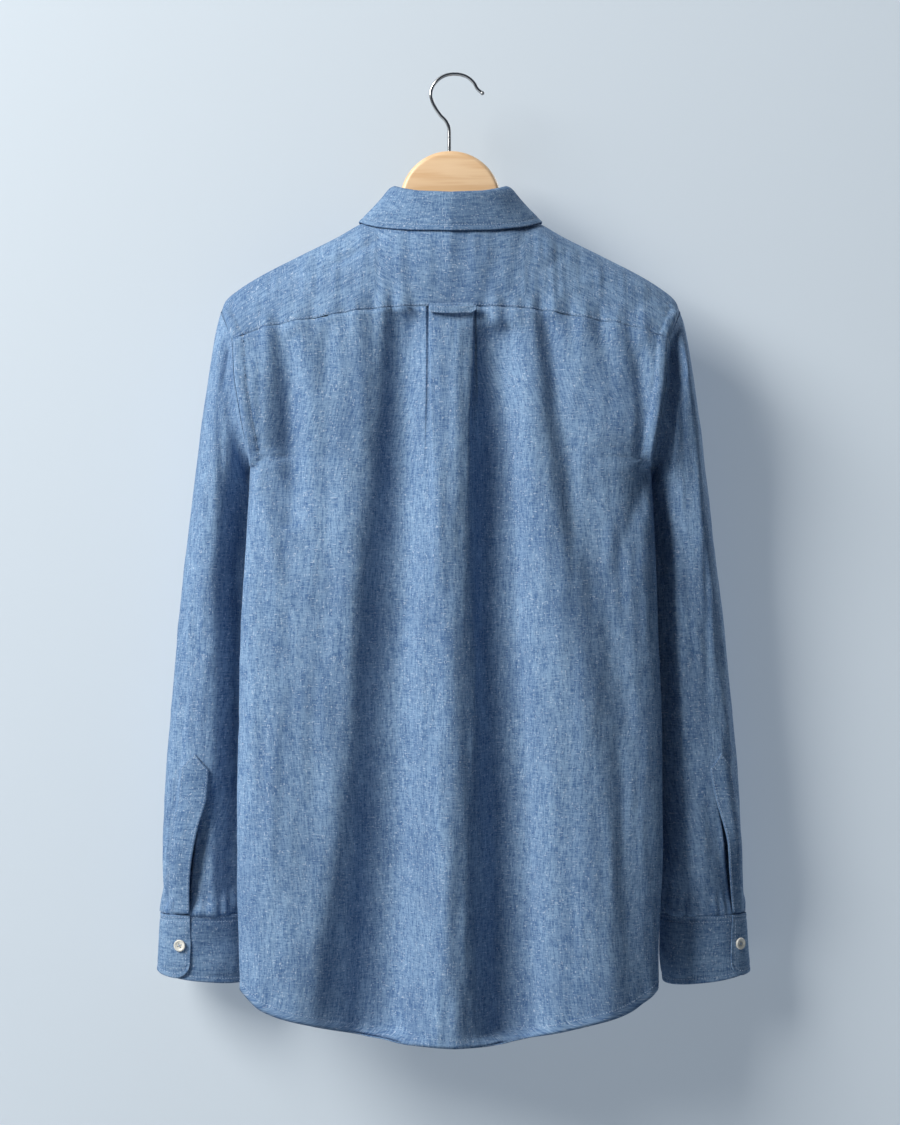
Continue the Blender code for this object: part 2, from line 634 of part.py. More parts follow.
def front_panel_point(sign, lift, arc, share, inner_x):
    """Point of a front, from its centre edge (arc 0) to its side (arc 1)."""
    edge_z = mix(FRONT_YOKE_CORNER_Z, HEM_CORNER_Z, share)
    if arc == 1.0:
        point = Vector((sign * half_width(edge_z), edge_y(edge_z, 1), edge_z))
        if edge_z < ARMHOLE_LOW_Z + SEAM_GAP:
            point.y += SIDE_SEAM_GAP / 2.0
        if share == 0.0:
            point.z -= SEAM_GAP
        return point
    x_top = mix(-FRONT_LAP, half_width(FRONT_YOKE_CORNER_Z), arc)
    x_low = mix(-FRONT_LAP, half_width(HEM_CORNER_Z), arc)
    if abs(x_top) < inner_x - SEAM_GAP:
        top = neck_z(x_top, 1)
    else:
        top = front_seam_z(x_top) - SEAM_GAP
    x = mix(-FRONT_LAP, half_width(edge_z), arc)
    z = mix(top, curve_value(FRONT_HEM, abs(x_low)), share)
    point = body_point(sign * x, z, 1)
    point.y += lift * (1.0 - smooth_step(FRONT_LAP + 2.0, FRONT_LAP + 26.0, x))
    return point


def build_front(name, sign, lift, collection):
    """One front, from the neckline and yoke seam to the hem."""
    inner_x = NECK_HALF_WIDTH * sqrt(1.0 - (FRONT_YOKE_DROP / NECK_FRONT_DROP) ** 2)
    neck_arc = (inner_x + FRONT_LAP) / (half_width(FRONT_YOKE_CORNER_Z) + FRONT_LAP)
    neck_arcs = [neck_arc * share ** 0.8 for share in steps(6)]
    side_shares = steps(9)[1:-1]
    side_arcs = [mix(neck_arc, 1.0, sin(pi / 2.0 * share)) for share in side_shares] + [1.0]
    grid = []
    for share in panel_shares(FRONT_YOKE_CORNER_Z, ARMHOLE_FRONT_LEVELS, FRONT_LOWER_LEVELS):
        grid.append([front_panel_point(sign, lift, arc, share, inner_x) for arc in neck_arcs + side_arcs])

    def outside(point):
        return Vector((0.0, 1.0, 0.0))

    return cloth_panel(name, [grid], outside, CLOTH, CHAMBRAY, collection)


# ------------------------------------------------------------------------- sleeves
SleeveColumn = namedtuple("SleeveColumn", "turn edge")
SLEEVE_ROWS = (0.0, 0.35, 0.8, 1.4, 2.1, 2.9, 3.8, 4.8, 5.8, 6.8, 7.8, 8.7, 9.4,
               SLIT_TOP_ROW, 10.3, 10.7, 11.2, 11.6, 12.0)


def armhole_edge(side_sign):
    """Points of the armhole's edge from the shoulder over the back, and their turns."""
    columns = []
    back_heights = [mix(ARMHOLE_TOP_Z, BACK_YOKE_CORNER_Z, share) for share in YOKE_BACK_SHARES]
    back_heights += [mix(BACK_YOKE_CORNER_Z, HEM_CORNER_Z, share)
                     for share in panel_shares(BACK_YOKE_CORNER_Z, ARMHOLE_BACK_LEVELS, 1)[1:-1]]
    front_heights = [mix(ARMHOLE_TOP_Z, FRONT_YOKE_CORNER_Z, share) for share in YOKE_FRONT_SHARES]
    front_heights += [mix(FRONT_YOKE_CORNER_Z, HEM_CORNER_Z, share)
                      for share in panel_shares(FRONT_YOKE_CORNER_Z, ARMHOLE_FRONT_LEVELS, 1)[1:-1]]
    for i, z in enumerate(back_heights):
        turn = 180.0 * i / (len(back_heights) - 1)
        columns.append(SleeveColumn(turn, Vector((side_sign * half_width(z), edge_y(z, -1), z))))
    front_heights.reverse()
    for i, z in enumerate(front_heights[1:], start=1):
        turn = 180.0 + 180.0 * i / (len(front_heights) - 1)
        columns.append(SleeveColumn(turn, Vector((side_sign * half_width(z), edge_y(z, 1), z))))
    return columns


def sleeve_shift(z, side_sign):
    """How far a sleeve lies to the right of its mirrored place at a height."""
    rows = column(SLEEVE_SHIFTS, "height", "left" if side_sign < 0 else "right")
    return curve_value(rows, z)


def sleeve_section_point(side_sign, turn, row, rise=0.0):
    """Point of a sleeve's plain section at a turn, moved out by a rise."""
    def size(name):
        return curve_value(column(SLEEVE_SECTIONS, "row", name), row)

    half_x = (size("outer_x") - size("inner_x")) / 2.0
    half_z = (size("outer_z") - size("inner_z")) / 2.0
    centre_x = (size("outer_x") + size("inner_x")) / 2.0
    centre_z = (size("outer_z") + size("inner_z")) / 2.0
    reach = sqrt(half_x * half_x + half_z * half_z)
    power = 2.0 / SLEEVE_POWER
    along = signed_power(cos(radians(turn)), power)
    out = signed_power(sin(radians(turn)), power)
    grow = 1.0 + rise / reach
    depth = size("depth") + rise
    x = side_sign * (centre_x + half_x * along * grow)
    z = centre_z + half_z * along * grow
    return Vector((x + sleeve_shift(z, side_sign), size("centre_y") - depth * out, z))


def slit_turn(z, side_sign):
    """Turn of the placket's free edge at a height."""
    return curve_value(column(SLIT_TURNS, "height", "left" if side_sign < 0 else "right"), z)


def sleeve_fold_rise(turn, z, side_sign):
    """Rise of the soft folds of a sleeve."""
    total = 0.0
    for fold in SLEEVE_FOLDS:
        if fold.side != side_sign:
            continue
        heights = (SLEEVE_FOLD_LOW_Z, SLEEVE_FOLD_MIDDLE_Z, SLEEVE_FOLD_HIGH_Z)
        line = zip(heights, (fold.low_turn, fold.middle_turn, fold.high_turn))
        rise = zip(heights, (fold.low_rise, fold.middle_rise, 0.0))
        away = (turn - curve_value(list(line), z)) / fold.width
        total += curve_value(list(rise), z) * exp(-away * away)
    return total


def slit_strength(row):
    """How far the slit stands open along the sleeve."""
    narrowed = 0.45 * smooth_step(11.0, 12.0, row)
    return smooth_step(SLIT_TOP_ROW - 0.6, SLIT_TOP_ROW + 0.9, row) * (1.0 - narrowed)


def sleeve_surface(side_sign, turn, row, over=None, folded=True):
    """Outer face of a sleeve. over is True on the slit's upper side and False below it."""
    z = sleeve_section_point(side_sign, turn, row).z
    rise = sleeve_fold_rise(turn, z, side_sign) if folded else 0.0
    away = turn - (slit_turn(z, side_sign) - SLIT_UNDER_TURN)
    opened = slit_strength(row)
    upper_side = away <= 0.0 if over is None else over
    if upper_side:
        rise += SLIT_OVER_RISE * opened * (smooth_step(-42.0, -8.0, away) if away < 0.0 else 1.0)
    else:
        rise -= SLIT_UNDER_SINK * opened * (1.0 - smooth_step(4.0, 34.0, away))
    return sleeve_section_point(side_sign, turn, row, rise)


SLEEVE_BLEND_ROW = 2.1      # below this row a sleeve has left the armhole's own outline
SLIT_SPREAD = 5.0           # columns on each side that make room for the slit


def sleeve_columns(side_sign):
    """Turns of a sleeve's columns, its armhole edge, and the column at the slit."""
    edge = armhole_edge(side_sign)
    target = slit_turn(-740.0, side_sign) - SLIT_UNDER_TURN
    slit = min(range(len(edge)), key=lambda i: abs(edge[i].turn - target))
    return edge, slit


def column_turn(edge, slit, index, z, side_sign):
    """Turn of a sleeve column at a height, moved to make room for the slit."""
    spread = smooth_step(-420.0, -650.0, z)
    away = abs(index - slit) / SLIT_SPREAD
    if index > len(edge) // 2 or away >= 1.0:
        return edge[index].turn
    wanted = slit_turn(z, side_sign) - SLIT_UNDER_TURN
    return edge[index].turn + (wanted - edge[slit].turn) * spread * (1.0 - away ** 1.5) * min(index, 1)


def sleeve_grid_point(side_sign, edge, slit, index, row, over=None):
    """Point of a sleeve's outer face at a column and a row."""
    rough = sleeve_section_point(side_sign, edge[index].turn, row)
    turn = column_turn(edge, slit, index, rough.z, side_sign)
    if over is not None:
        turn += -SLIT_HALF_TURN if over else SLIT_HALF_TURN
    point = sleeve_surface(side_sign, turn, row, over)
    if row < SLEEVE_BLEND_ROW:
        start = sleeve_section_point(side_sign, edge[index].turn, 0.0)
        point += (edge[index].edge - start) * (1.0 - smooth_step(0.0, SLEEVE_BLEND_ROW, row))
    return point


def clear_of_armhole(ring, next_ring):
    """The sleeve's first ring, moved square off the armhole's edge within the sleeve."""
    count = len(ring) - 1
    moved = []
    for i in range(len(ring)):
        along = (ring[(i + 1) % count] - ring[(i - 1) % count]).normalized()
        travel = next_ring[i] - ring[i]
        square = (travel - along * travel.dot(along)).normalized()
        moved.append(ring[i] + square * SLEEVE_GAP)
    return moved


def build_sleeve(name, side_sign, collection):
    """Sleeve from the armhole to the cuff, open below the point of its placket."""
    edge, slit = sleeve_columns(side_sign)
    order = list(range(slit, len(edge))) + list(range(1, slit + 1))
    grid = []
    for row in SLEEVE_ROWS:
        opened = row > SLIT_TOP_ROW
        points = []
        for spot, index in enumerate(order):
            over = None
            if opened and spot == 0:
                over = False
            elif opened and spot == len(order) - 1:
                over = True
            points.append(sleeve_grid_point(side_sign, edge, slit, index, row, over))
        grid.append(points)
    grid[0] = clear_of_armhole(grid[0], grid[1])

    def outside(point):
        share = min(max((point.z - ARMHOLE_TOP_Z) / (CUFF_TOP_Z - ARMHOLE_TOP_Z), 0.0), 1.0)
        return Vector((point.x - side_sign * mix(215.0, 240.0, share), point.y - 18.0, 0.0))

    return cloth_panel(name, [grid], outside, CLOTH, CHAMBRAY_SLEEVE, collection)


def row_at(z):
    """Row of the straight lower part of a sleeve at a height."""
    middles = [((part.outer_z + part.inner_z) / 2.0, part.row) for part in SLEEVE_SECTIONS]
    return curve_value(middles, z)


def build_sleeve_placket(name, side_sign, collection):
    """Pointed strip that lies on a sleeve and hangs over its slit."""
    edge, slit = sleeve_columns(side_sign)
    shares = (0.0, 0.25, 0.5, 0.75, 0.9, 1.0)
    grid = []
    for down in (0.0, 0.06, 0.16, 0.28, 0.4, 0.52, 0.64, 0.76, 0.88, 1.0):
        row_points = []
        for share in shares:
            corner = abs(share - 0.5) * 2.0
            top = mix(PLACKET_POINT_Z, PLACKET_CORNER_Z, corner)
            z = mix(top, PLACKET_END_Z, down)
            turn = slit_turn(z, side_sign) - PLACKET_TURN * (1.0 - share)
            row = row_at(z)
            point = sleeve_surface(side_sign, turn, row, True, False)
            centre = sleeve_section_point(side_sign, turn, row, -10.0)
            outward = (point - centre)
            outward.z = 0.0
            edge_lift = PLACKET_EDGE_LIFT * slit_strength(row) * smooth_step(0.7, 1.0, share)
            row_points.append(point + outward.normalized() * (PLACKET_LIFT + CLOTH + edge_lift))
        grid.append(row_points)

    def outside(point):
        return Vector((point.x - side_sign * 240.0, point.y - 25.0, 0.0))

    return cloth_panel(name, [grid], outside, CLOTH, CHAMBRAY_TRIM, collection)


# --------------------------------------------------------------------------- cuffs
def cuff_point(end, travel, share):
    """Point of a cuff; travel is the turn from its under end, share runs down it."""
    side_sign = end.side
    stop = mix(end.top_turn, end.low_turn, share)
    turn = travel + stop - 360.0 - CUFF_LAP_TURN
    from_end = 360.0 + CUFF_LAP_TURN - travel

    def size(name):
        return curve_value(column(CUFF_SECTIONS, "drop", name), share)

    low_z = CUFF_LOW_Z + CUFF_OUTER_RISE * cos(radians(turn)) - CUFF_BACK_DROP * sin(radians(turn))
    if from_end < CUFF_CORNER_TURN:
        back = 1.0 - from_end / CUFF_CORNER_TURN
        low_z += CUFF_CORNER_ROUND * (1.0 - sqrt(max(0.0, 1.0 - back * back)))
    z = mix(CUFF_TOP_Z, low_z, share)
    rise = CUFF_LAP_RISE * (1.0 - smooth_step(CUFF_LAP_TURN, CUFF_LAP_TURN + 30.0, from_end))
    half = (size("outer_x") - size("inner_x")) / 2.0
    centre = (size("outer_x") + size("inner_x")) / 2.0
    power = 2.0 / SLEEVE_POWER
    along = signed_power(cos(radians(turn)), power)
    out = signed_power(sin(radians(turn)), power)
    x = side_sign * (centre + (half + rise) * along) + sleeve_shift(z, side_sign)
    return Vector((x, CUFF_CENTRE_Y - (size("depth") + rise) * out, z))


def build_cuff(name, end, collection):
    """Barrel cuff, wrapped once with its upper end lapped over the under one."""
    whole = 360.0 + CUFF_LAP_TURN
    corner = [whole - CUFF_CORNER_TURN * (1.0 - share) ** 1.6 for share in steps(4)]
    travels = [(whole - CUFF_CORNER_TURN) * share for share in steps(24)] + corner[1:]
    grid = []
    for share in (0.0, 0.25, 0.5, 0.75, 1.0):
        grid.append([cuff_point(end, travel, share) for travel in travels])

    def outside(point):
        return Vector((point.x - end.side * 242.0, point.y - CUFF_CENTRE_Y, 0.0))

    return cloth_panel(name, [grid], outside, CLOTH, CHAMBRAY_TRIM, collection)


# -------------------------------------------------------------------------- collar
def neck_point(turn):
    """Foot of the collar stand, just inside the neckline, round from the centre back."""
    x = (NECK_HALF_WIDTH - NECK_SEAM_RISE) * sin(radians(turn))
    side = -1 if cos(radians(turn)) >= 0.0 else 1
    drop = (NECK_BACK_DROP if side < 0 else NECK_FRONT_DROP) - NECK_SEAM_RISE
    z = NECK_SHOULDER_Z - drop * abs(cos(radians(turn)))
    return body_point(x, z, side) + Vector((0.0, 0.0, NECK_SEAM_RISE / 2.0))


def fold_point(turn):
    """Point of the collar's fold line, round from the centre back."""
    x = COLLAR_FOLD_HALF_WIDTH * sin(radians(turn))
    y = COLLAR_FOLD_CENTRE_Y - COLLAR_FOLD_HALF_DEPTH * cos(radians(turn))
    return Vector((x, y, curve_value(column(COLLAR_FOLD, "turn", "height"), abs(turn))))




def stand_point(turn, share):
    """Point of the collar stand, round from the centre back and up from its foot."""
    low = neck_point(turn)
    top = fold_point(turn if abs(turn) <= 180.0 else turn - 360.0 * (1 if turn > 0 else -1))
    top.z -= STAND_DROP + STAND_FRONT_DROP * smooth_step(88.0, 130.0, abs(turn))
    point = low.lerp(top, share)
    point.y += STAND_LAP_RISE * smooth_step(156.0, 168.0, -turn)
    return point


def build_collar_stand(collection):
    """Upright band of the collar, lapped at the centre front."""
    grid = []
    for share in (0.0, 0.33, 0.67, 1.0):
        grid.append([stand_point(STAND_END_TURN * (2.0 * along - 1.0), share) for along in steps(36)])

    def outside(point):
        return Vector((point.x, point.y, 0.0))

    return cloth_panel("collar_stand", [grid], outside, CLOTH, CHAMBRAY_TRIM, collection)


def fall_edge_point(turn):
    """Point of the outer face of the collar's edge, just clear of the panels."""
    rows_x = [(row.turn, row.x) for row in COLLAR_EDGE]
    rows_z = [(row.turn, row.height) for row in COLLAR_EDGE]
    x = curve_value(rows_x, abs(turn))
    z = min(curve_value(rows_z, abs(turn)), shoulder_z(x))
    if abs(abs(turn) - 90.0) < 1.0:
        out = body_normal(x, z, -1) + body_normal(x, z, 1)
        point = body_point(x, z, -1)
    else:
        side = -1 if abs(turn) < 90.0 else 1
        out = body_normal(x, z, side)
        point = body_point(x, z, side)
    point += out.normalized() * (COLLAR_CLEARANCE + FRONT_LAP_RISE * smooth_step(95.0, 125.0, abs(turn)))
    if turn < 0.0:
        point.x = -point.x
    return point


def build_collar_fall(collection):
    """Turned-down collar, rolled over the stand and resting just above the panels."""
    grid = []
    for share in (0.0, 0.035, 0.1, 0.25, 0.5, 0.75, 1.0):
        row = []
        for along in steps(36):
            turn = COLLAR_FRONT_TURN * (2.0 * along - 1.0)
            top = fold_point(turn)
            low = fall_edge_point(turn * COLLAR_EDGE[-1].turn / COLLAR_FRONT_TURN)
            point = top.lerp(low, share)
            out = Vector((top.x, top.y - COLLAR_FOLD_CENTRE_Y, 0.0)).normalized()
            start = 1.0 - exp(-share / COLLAR_ROLL_SHARE)
            point += out * COLLAR_ROLL * start * (1.0 - share) ** 1.5
            point.z += COLLAR_ROLL_RISE * start * (1.0 - share) ** 4
            row.append(point)
        grid.append(row)

    def outside(point):
        return Vector((point.x, point.y, 20.0))

    return cloth_panel("collar_fall", [grid], outside, COLLAR_CLOTH, CHAMBRAY_TRIM, collection)


# -------------------------------------------------------------- locker loop, buttons
def build_locker_loop(collection):
    """Short strip sewn in at both ends of the pleat and bowed away from it."""
    grid = []
    for down in (0.0, 0.5, 1.0):
        row = []
        for share in steps(12):
            x = LOOP_CENTRE_X + LOOP_HALF_LENGTH * (2.0 * share - 1.0)
            bow = sin(pi * share)
            z = YOKE_SEAM[0].height + SEAM_GAP - LOOP_WIDTH * down - LOOP_SAG * bow
            point = body_point(x, z, -1)
            point.y -= PLEAT_TOP_RISE + LOOP_GAP + CLOTH + LOOP_BOW * bow ** 0.8
            row.append(point)
        grid.append(row)

    def outside(point):
        return Vector((0.0, -1.0, 0.0))

    return cloth_panel("locker_loop", [grid], outside, CLOTH, CHAMBRAY_TRIM, collection)


def build_button(name, point, outward, collection):
    """Turned button with a raised rim, its back BUTTON_GAP off the cloth at a point."""
    radius = BUTTON_DIAMETER / 2.0
    profile = (
        (0.0, BUTTON_THICKNESS - BUTTON_DISH), (radius * 0.62, BUTTON_THICKNESS - BUTTON_DISH),
        (radius * 0.85, BUTTON_THICKNESS), (radius, BUTTON_THICKNESS * 0.6),
        (radius * 0.8, 0.0), (0.0, 0.0),
    )
    frame = bmesh.new()
    verts = [frame.verts.new((across * MM, 0.0, up * MM)) for across, up in profile]
    for upper, lower in zip(verts, verts[1:]):
        frame.edges.new((upper, lower))
    mesh = bpy.data.meshes.new(name)
    frame.to_mesh(mesh)
    frame.free()
    button = finish_object(mesh, name, BUTTON_FINISH, collection)
    turning = button.modifiers.new("turning", "SCREW")
    turning.axis = "Z"
    turning.steps = BUTTON_SIDES
    turning.render_steps = BUTTON_SIDES
    turning.use_merge_vertices = True
    turning.merge_threshold = 0.00001
    button.location = place(point + outward.normalized() * BUTTON_GAP)
    button.rotation_mode = "QUATERNION"
    button.rotation_quaternion = Vector((0.0, 0.0, 1.0)).rotation_difference(outward.normalized())
    return button


FRONT_BUTTON_HEIGHTS = (-233.0, -318.0, -403.0, -488.0, -573.0, -658.0)
STAND_BUTTON_SHARE = 0.5


def build_buttons(collection):
    """Buttons of the cuffs, the collar stand and the front."""
    for end, name in zip(CUFF_ENDS, ("cuff_button_left", "cuff_button_right")):
        share = (CUFF_BUTTON_Z - CUFF_TOP_Z) / (CUFF_LOW_Z - CUFF_TOP_Z)
        travel = 360.0 + CUFF_LAP_TURN - CUFF_BUTTON_BACK
        point = cuff_point(end, travel, share)
        across = cuff_point(end, travel + 3.0, share) - cuff_point(end, travel - 3.0, share)
        outward = Vector((-across.y, across.x, 0.0))
        if outward.dot(Vector((0.0, -1.0, 0.0))) < 0.0:
            outward = -outward
        build_button(name, point, outward, collection)
    rise = stand_point(-180.0, 1.0) - stand_point(-180.0, 0.0)
    stand = stand_point(-180.0, STAND_BUTTON_SHARE)
    build_button("front_button_1", stand, Vector((0.0, rise.z, -rise.y)), collection)
    for i, z in enumerate(FRONT_BUTTON_HEIGHTS, start=2):
        point = body_point(0.0, z, 1)
        point.y += FRONT_LAP_RISE
        build_button("front_button_%d" % i, point, body_normal(0.0, z, 1), collection)


# -------------------------------------------------------------------------- hanger
HANGER_TOP_STATIONS = (58.0, 72.0, 88.0, 106.0, 132.0, 160.0, 186.0)
HANGER_LOW_STATIONS = (174.0, 140.0, 100.0, 60.0, 25.0, 0.0)
HANGER_LOW_SHIFT = 6.0      # the lower edge runs parallel to the arm, this far inwards
HANGER_DIP_REACH = (78.0, 104.0)
HANGER_HEAD_TURN = 91.0     # the head's arc, from its top down to the arm


def hanger_outline():
    """Outline of the flat hanger, a round head between two sloping arms."""
    rest = CLOTH + HANGER_REST_GAP
    head_z = HANGER_HEAD_TOP - HANGER_HEAD_RADIUS
    right = []
    for share in steps(10):
        turn = radians(HANGER_HEAD_TURN * share)
        right.append((HANGER_HEAD_RADIUS * sin(turn), head_z + HANGER_HEAD_RADIUS * cos(turn)))
    for x in HANGER_TOP_STATIONS:
        dip = HANGER_NECK_DIP * (1.0 - smooth_step(*HANGER_DIP_REACH, x))
        right.append((x, shoulder_z(x) - rest - dip))
    end_x = HANGER_REACH - HANGER_END_IN
    end_z = shoulder_z(end_x) - rest - HANGER_END_DROP
    for turn in (-60.0, -25.0, 10.0, 45.0, 80.0, 115.0):
        away = Vector((cos(radians(turn)), -sin(radians(turn))))
        right.append((end_x + HANGER_END_RADIUS * away.x, end_z + HANGER_END_RADIUS * away.y))
    for x in HANGER_LOW_STATIONS:
        right.append((x, shoulder_z(x + HANGER_LOW_SHIFT) - rest - HANGER_ARM_HEIGHT))
    left = [(-x, z) for x, z in reversed(right[1:-1])]
    return right + left


def build_hanger(collection):
    """Flat wooden hanger with rounded edges."""
    outline = bpy.data.curves.new("hanger_body", "CURVE")
    outline.dimensions = "2D"
    outline.fill_mode = "BOTH"
    outline.extrude = (HANGER_THICKNESS / 2.0 - HANGER_EDGE_ROUND) * MM
    outline.bevel_depth = HANGER_EDGE_ROUND * MM
    outline.bevel_resolution = 2
    outline.offset = -HANGER_EDGE_ROUND * MM
    points = hanger_outline()
    spline = outline.splines.new("POLY")
    spline.points.add(len(points) - 1)
    for spot, (x, z) in zip(spline.points, points):
        spot.co = (x * MM, z * MM, 0.0, 1.0)
    spline.use_cyclic_u = True
    outline.materials.append(paint("hanger_body_finish", WOOD_FINISH))
    hanger = bpy.data.objects.new("hanger_body", outline)
    hanger.location = (CENTRE_X * MM, 0.0, 0.0)
    hanger.rotation_euler = (pi / 2.0, 0.0, 0.0)
    collection.objects.link(hanger)


def build_hook(collection):
    """Bent-wire hook that stands in the hanger's head."""
    wire = bpy.data.curves.new("hanger_hook", "CURVE")
    wire.dimensions = "3D"
    wire.bevel_depth = HOOK_WIRE / 2.0 * MM
    wire.bevel_resolution = 2
    wire.use_fill_caps = True
    spline = wire.splines.new("POLY")
    path = []
    for i in range(len(HOOK_ROUTE) - 1):
        before = HOOK_ROUTE[max(i - 1, 0)]
        start, stop = HOOK_ROUTE[i], HOOK_ROUTE[i + 1]
        after = HOOK_ROUTE[min(i + 2, len(HOOK_ROUTE) - 1)]
        for t in (0.0, 0.5):
            path.append([
                0.5 * (2.0 * b + (c - a) * t + (2.0 * a - 5.0 * b + 4.0 * c - d) * t * t
                       + (3.0 * b - a - 3.0 * c + d) * t ** 3)
                for a, b, c, d in ((before.x, start.x, stop.x, after.x),
                                   (before.z, start.z, stop.z, after.z))])
    path.append([HOOK_ROUTE[-1].x, HOOK_ROUTE[-1].z])
    spline.points.add(len(path) - 1)
    for spot, (x, z) in zip(spline.points, path):
        spot.co = (x * MM, 0.0, z * MM, 1.0)
    wire.materials.append(paint("hanger_hook_finish", WIRE_FINISH))
    hook = bpy.data.objects.new("hanger_hook", wire)
    collection.objects.link(hook)


def main():
    """Clear the scene and build the shirt and its hanger."""
    for old in list(bpy.data.objects):
        bpy.data.objects.remove(old, do_unlink=True)
    shirt = bpy.data.collections.new("chambray_shirt_on_hanger")
    bpy.context.scene.collection.children.link(shirt)
    build_hanger(shirt)
    build_hook(shirt)
    build_yoke(shirt)
    build_back(shirt)
    build_front("front_right", 1, 0.0, shirt)
    build_front("front_left", -1, FRONT_LAP_RISE, shirt)
    build_collar_stand(shirt)
    build_collar_fall(shirt)
    build_locker_loop(shirt)
    for label, end in zip(("left", "right"), CUFF_ENDS):
        build_sleeve("sleeve_" + label, end.side, shirt)
        build_sleeve_placket("sleeve_placket_" + label, end.side, shirt)
        build_cuff("cuff_" + label, end, shirt)
    build_buttons(shirt)


main()
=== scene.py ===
"""Looks of a blue chambray shirt that hangs on a flat wooden hanger, seen from its back.

Surfaces are worked out in millimetres about the shirt's centre line, and the mesh
builder moves them into the frame, in metres. The shirt's back faces -Y and +Z is up.
The wearer's left is at -X.
"""
import logging
import math
from dataclasses import dataclass, field
from enum import Enum
from typing import Callable, Iterable

import bmesh
import bpy
import numpy as np
from mathutils import Matrix, Vector


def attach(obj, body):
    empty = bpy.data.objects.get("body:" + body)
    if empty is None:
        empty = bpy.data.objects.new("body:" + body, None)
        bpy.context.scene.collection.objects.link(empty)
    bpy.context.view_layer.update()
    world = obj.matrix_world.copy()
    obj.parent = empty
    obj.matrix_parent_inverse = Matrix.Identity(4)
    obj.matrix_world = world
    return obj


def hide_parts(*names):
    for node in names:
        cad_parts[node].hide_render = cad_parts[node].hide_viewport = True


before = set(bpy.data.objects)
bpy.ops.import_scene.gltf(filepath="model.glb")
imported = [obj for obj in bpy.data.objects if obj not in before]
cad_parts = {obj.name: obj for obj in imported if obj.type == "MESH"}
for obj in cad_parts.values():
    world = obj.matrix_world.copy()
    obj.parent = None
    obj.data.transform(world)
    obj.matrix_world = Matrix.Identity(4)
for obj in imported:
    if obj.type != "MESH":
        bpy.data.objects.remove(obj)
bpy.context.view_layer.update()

LOG = logging.getLogger("chambray_shirt")
Array = np.ndarray
Outward = Callable[[Array], Array]
Triple = tuple[float, float, float]
MM = 0.001
CENTRE = np.array((-3.6, 0.0, 0.0))    # the shirt's centre line, in the frame
WELD = 0.00002              # points closer than this, in metres, are joined
CLOTH = 0.5                 # wall of the cloth in millimetres
BAND_CLOTH = 1.0            # wall of the two-layer collar, cuffs and bands


class Side(Enum):
    """The two halves of the body's surface."""

    BACK = -1
    FRONT = 1


class Hand(Enum):
    """The wearer's left and right."""

    LEFT = -1
    RIGHT = 1


# --------------------------------------------------------------------- numbers
@dataclass(frozen=True)
class Curve:
    """Smooth line through (key, value) rows that never overshoots them."""

    rows: tuple[tuple[float, float], ...]

    def __call__(self, at: Array | float) -> Array:
        """Value at each key.

        Args:
            at: keys, as one number or an array of any shape.

        Returns:
            The values, in the same shape.
        """
        keys, values = np.array(sorted(self.rows), dtype=float).T
        rates = np.diff(values) / np.diff(keys)
        slopes = np.concatenate((rates[:1], np.zeros(len(keys) - 2), rates[-1:]))
        product = rates[:-1] * rates[1:]
        total = rates[:-1] + rates[1:]
        safe = np.where(product > 0.0, total, 1.0)
        slopes[1:-1] = np.where(product > 0.0, 2.0 * product / safe, 0.0)
        at = np.clip(np.asarray(at, dtype=float), keys[0], keys[-1])
        spot = np.clip(np.searchsorted(keys, at, side="right") - 1, 0, len(keys) - 2)
        span = keys[spot + 1] - keys[spot]
        t = (at - keys[spot]) / span
        return (
            values[spot] * (1.0 + 2.0 * t) * (1.0 - t) ** 2
            + slopes[spot] * span * t * (1.0 - t) ** 2
            + values[spot + 1] * t * t * (3.0 - 2.0 * t)
            - slopes[spot + 1] * span * t * t * (1.0 - t)
        )


def mix(start: Array | float, end: Array | float, share: Array | float) -> Array:
    """Value part of the way from start to end."""
    return start + (end - start) * share


def smooth_step(low: float, high: float, value: Array | float) -> Array:
    """Soft step from 0 at low to 1 at high."""
    share = np.clip((np.asarray(value, dtype=float) - low) / (high - low), 0.0, 1.0)
    return share * share * (3.0 - 2.0 * share)


def signed_power(value: Array, power: float) -> Array:
    """Power of numbers that keep their sign."""
    return np.sign(value) * np.abs(value) ** power


def arch(share: Array, power: float) -> Array:
    """Height of a rounded arch over -1..1, with 1 in the middle and 0 at its ends."""
    return np.maximum(0.0, 1.0 - np.minimum(np.abs(share), 1.0) ** power) ** (1.0 / power)


def unit(vectors: Array) -> Array:
    """Vectors of length one in the same directions."""
    return vectors / np.maximum(np.linalg.norm(vectors, axis=-1, keepdims=True), 1e-9)


def stack(x: Array | float, y: Array | float, z: Array | float) -> Array:
    """Points from their three coordinates."""
    return np.stack(as_grids(x, y, z), axis=-1)


def pairs(first: Array | float, second: Array | float) -> Array:
    """Places on a flat cut from their two coordinates."""
    return np.stack(np.broadcast_arrays(first, second), axis=-1)


def as_grids(*values: Array | float) -> Iterable[Array]:
    """Arrays of floats, all spread to one shape."""
    return np.broadcast_arrays(*(np.asarray(value, dtype=float) for value in values))


def bell(value: Array, width: float) -> Array:
    """Soft bump of height one about 0."""
    return np.exp(-((value / width) ** 2))


def soft_shares(count: int) -> Array:
    """Shares from 0 to 1 that lie closer together towards 1."""
    return np.sin(math.pi / 2.0 * np.linspace(0.0, 1.0, count))


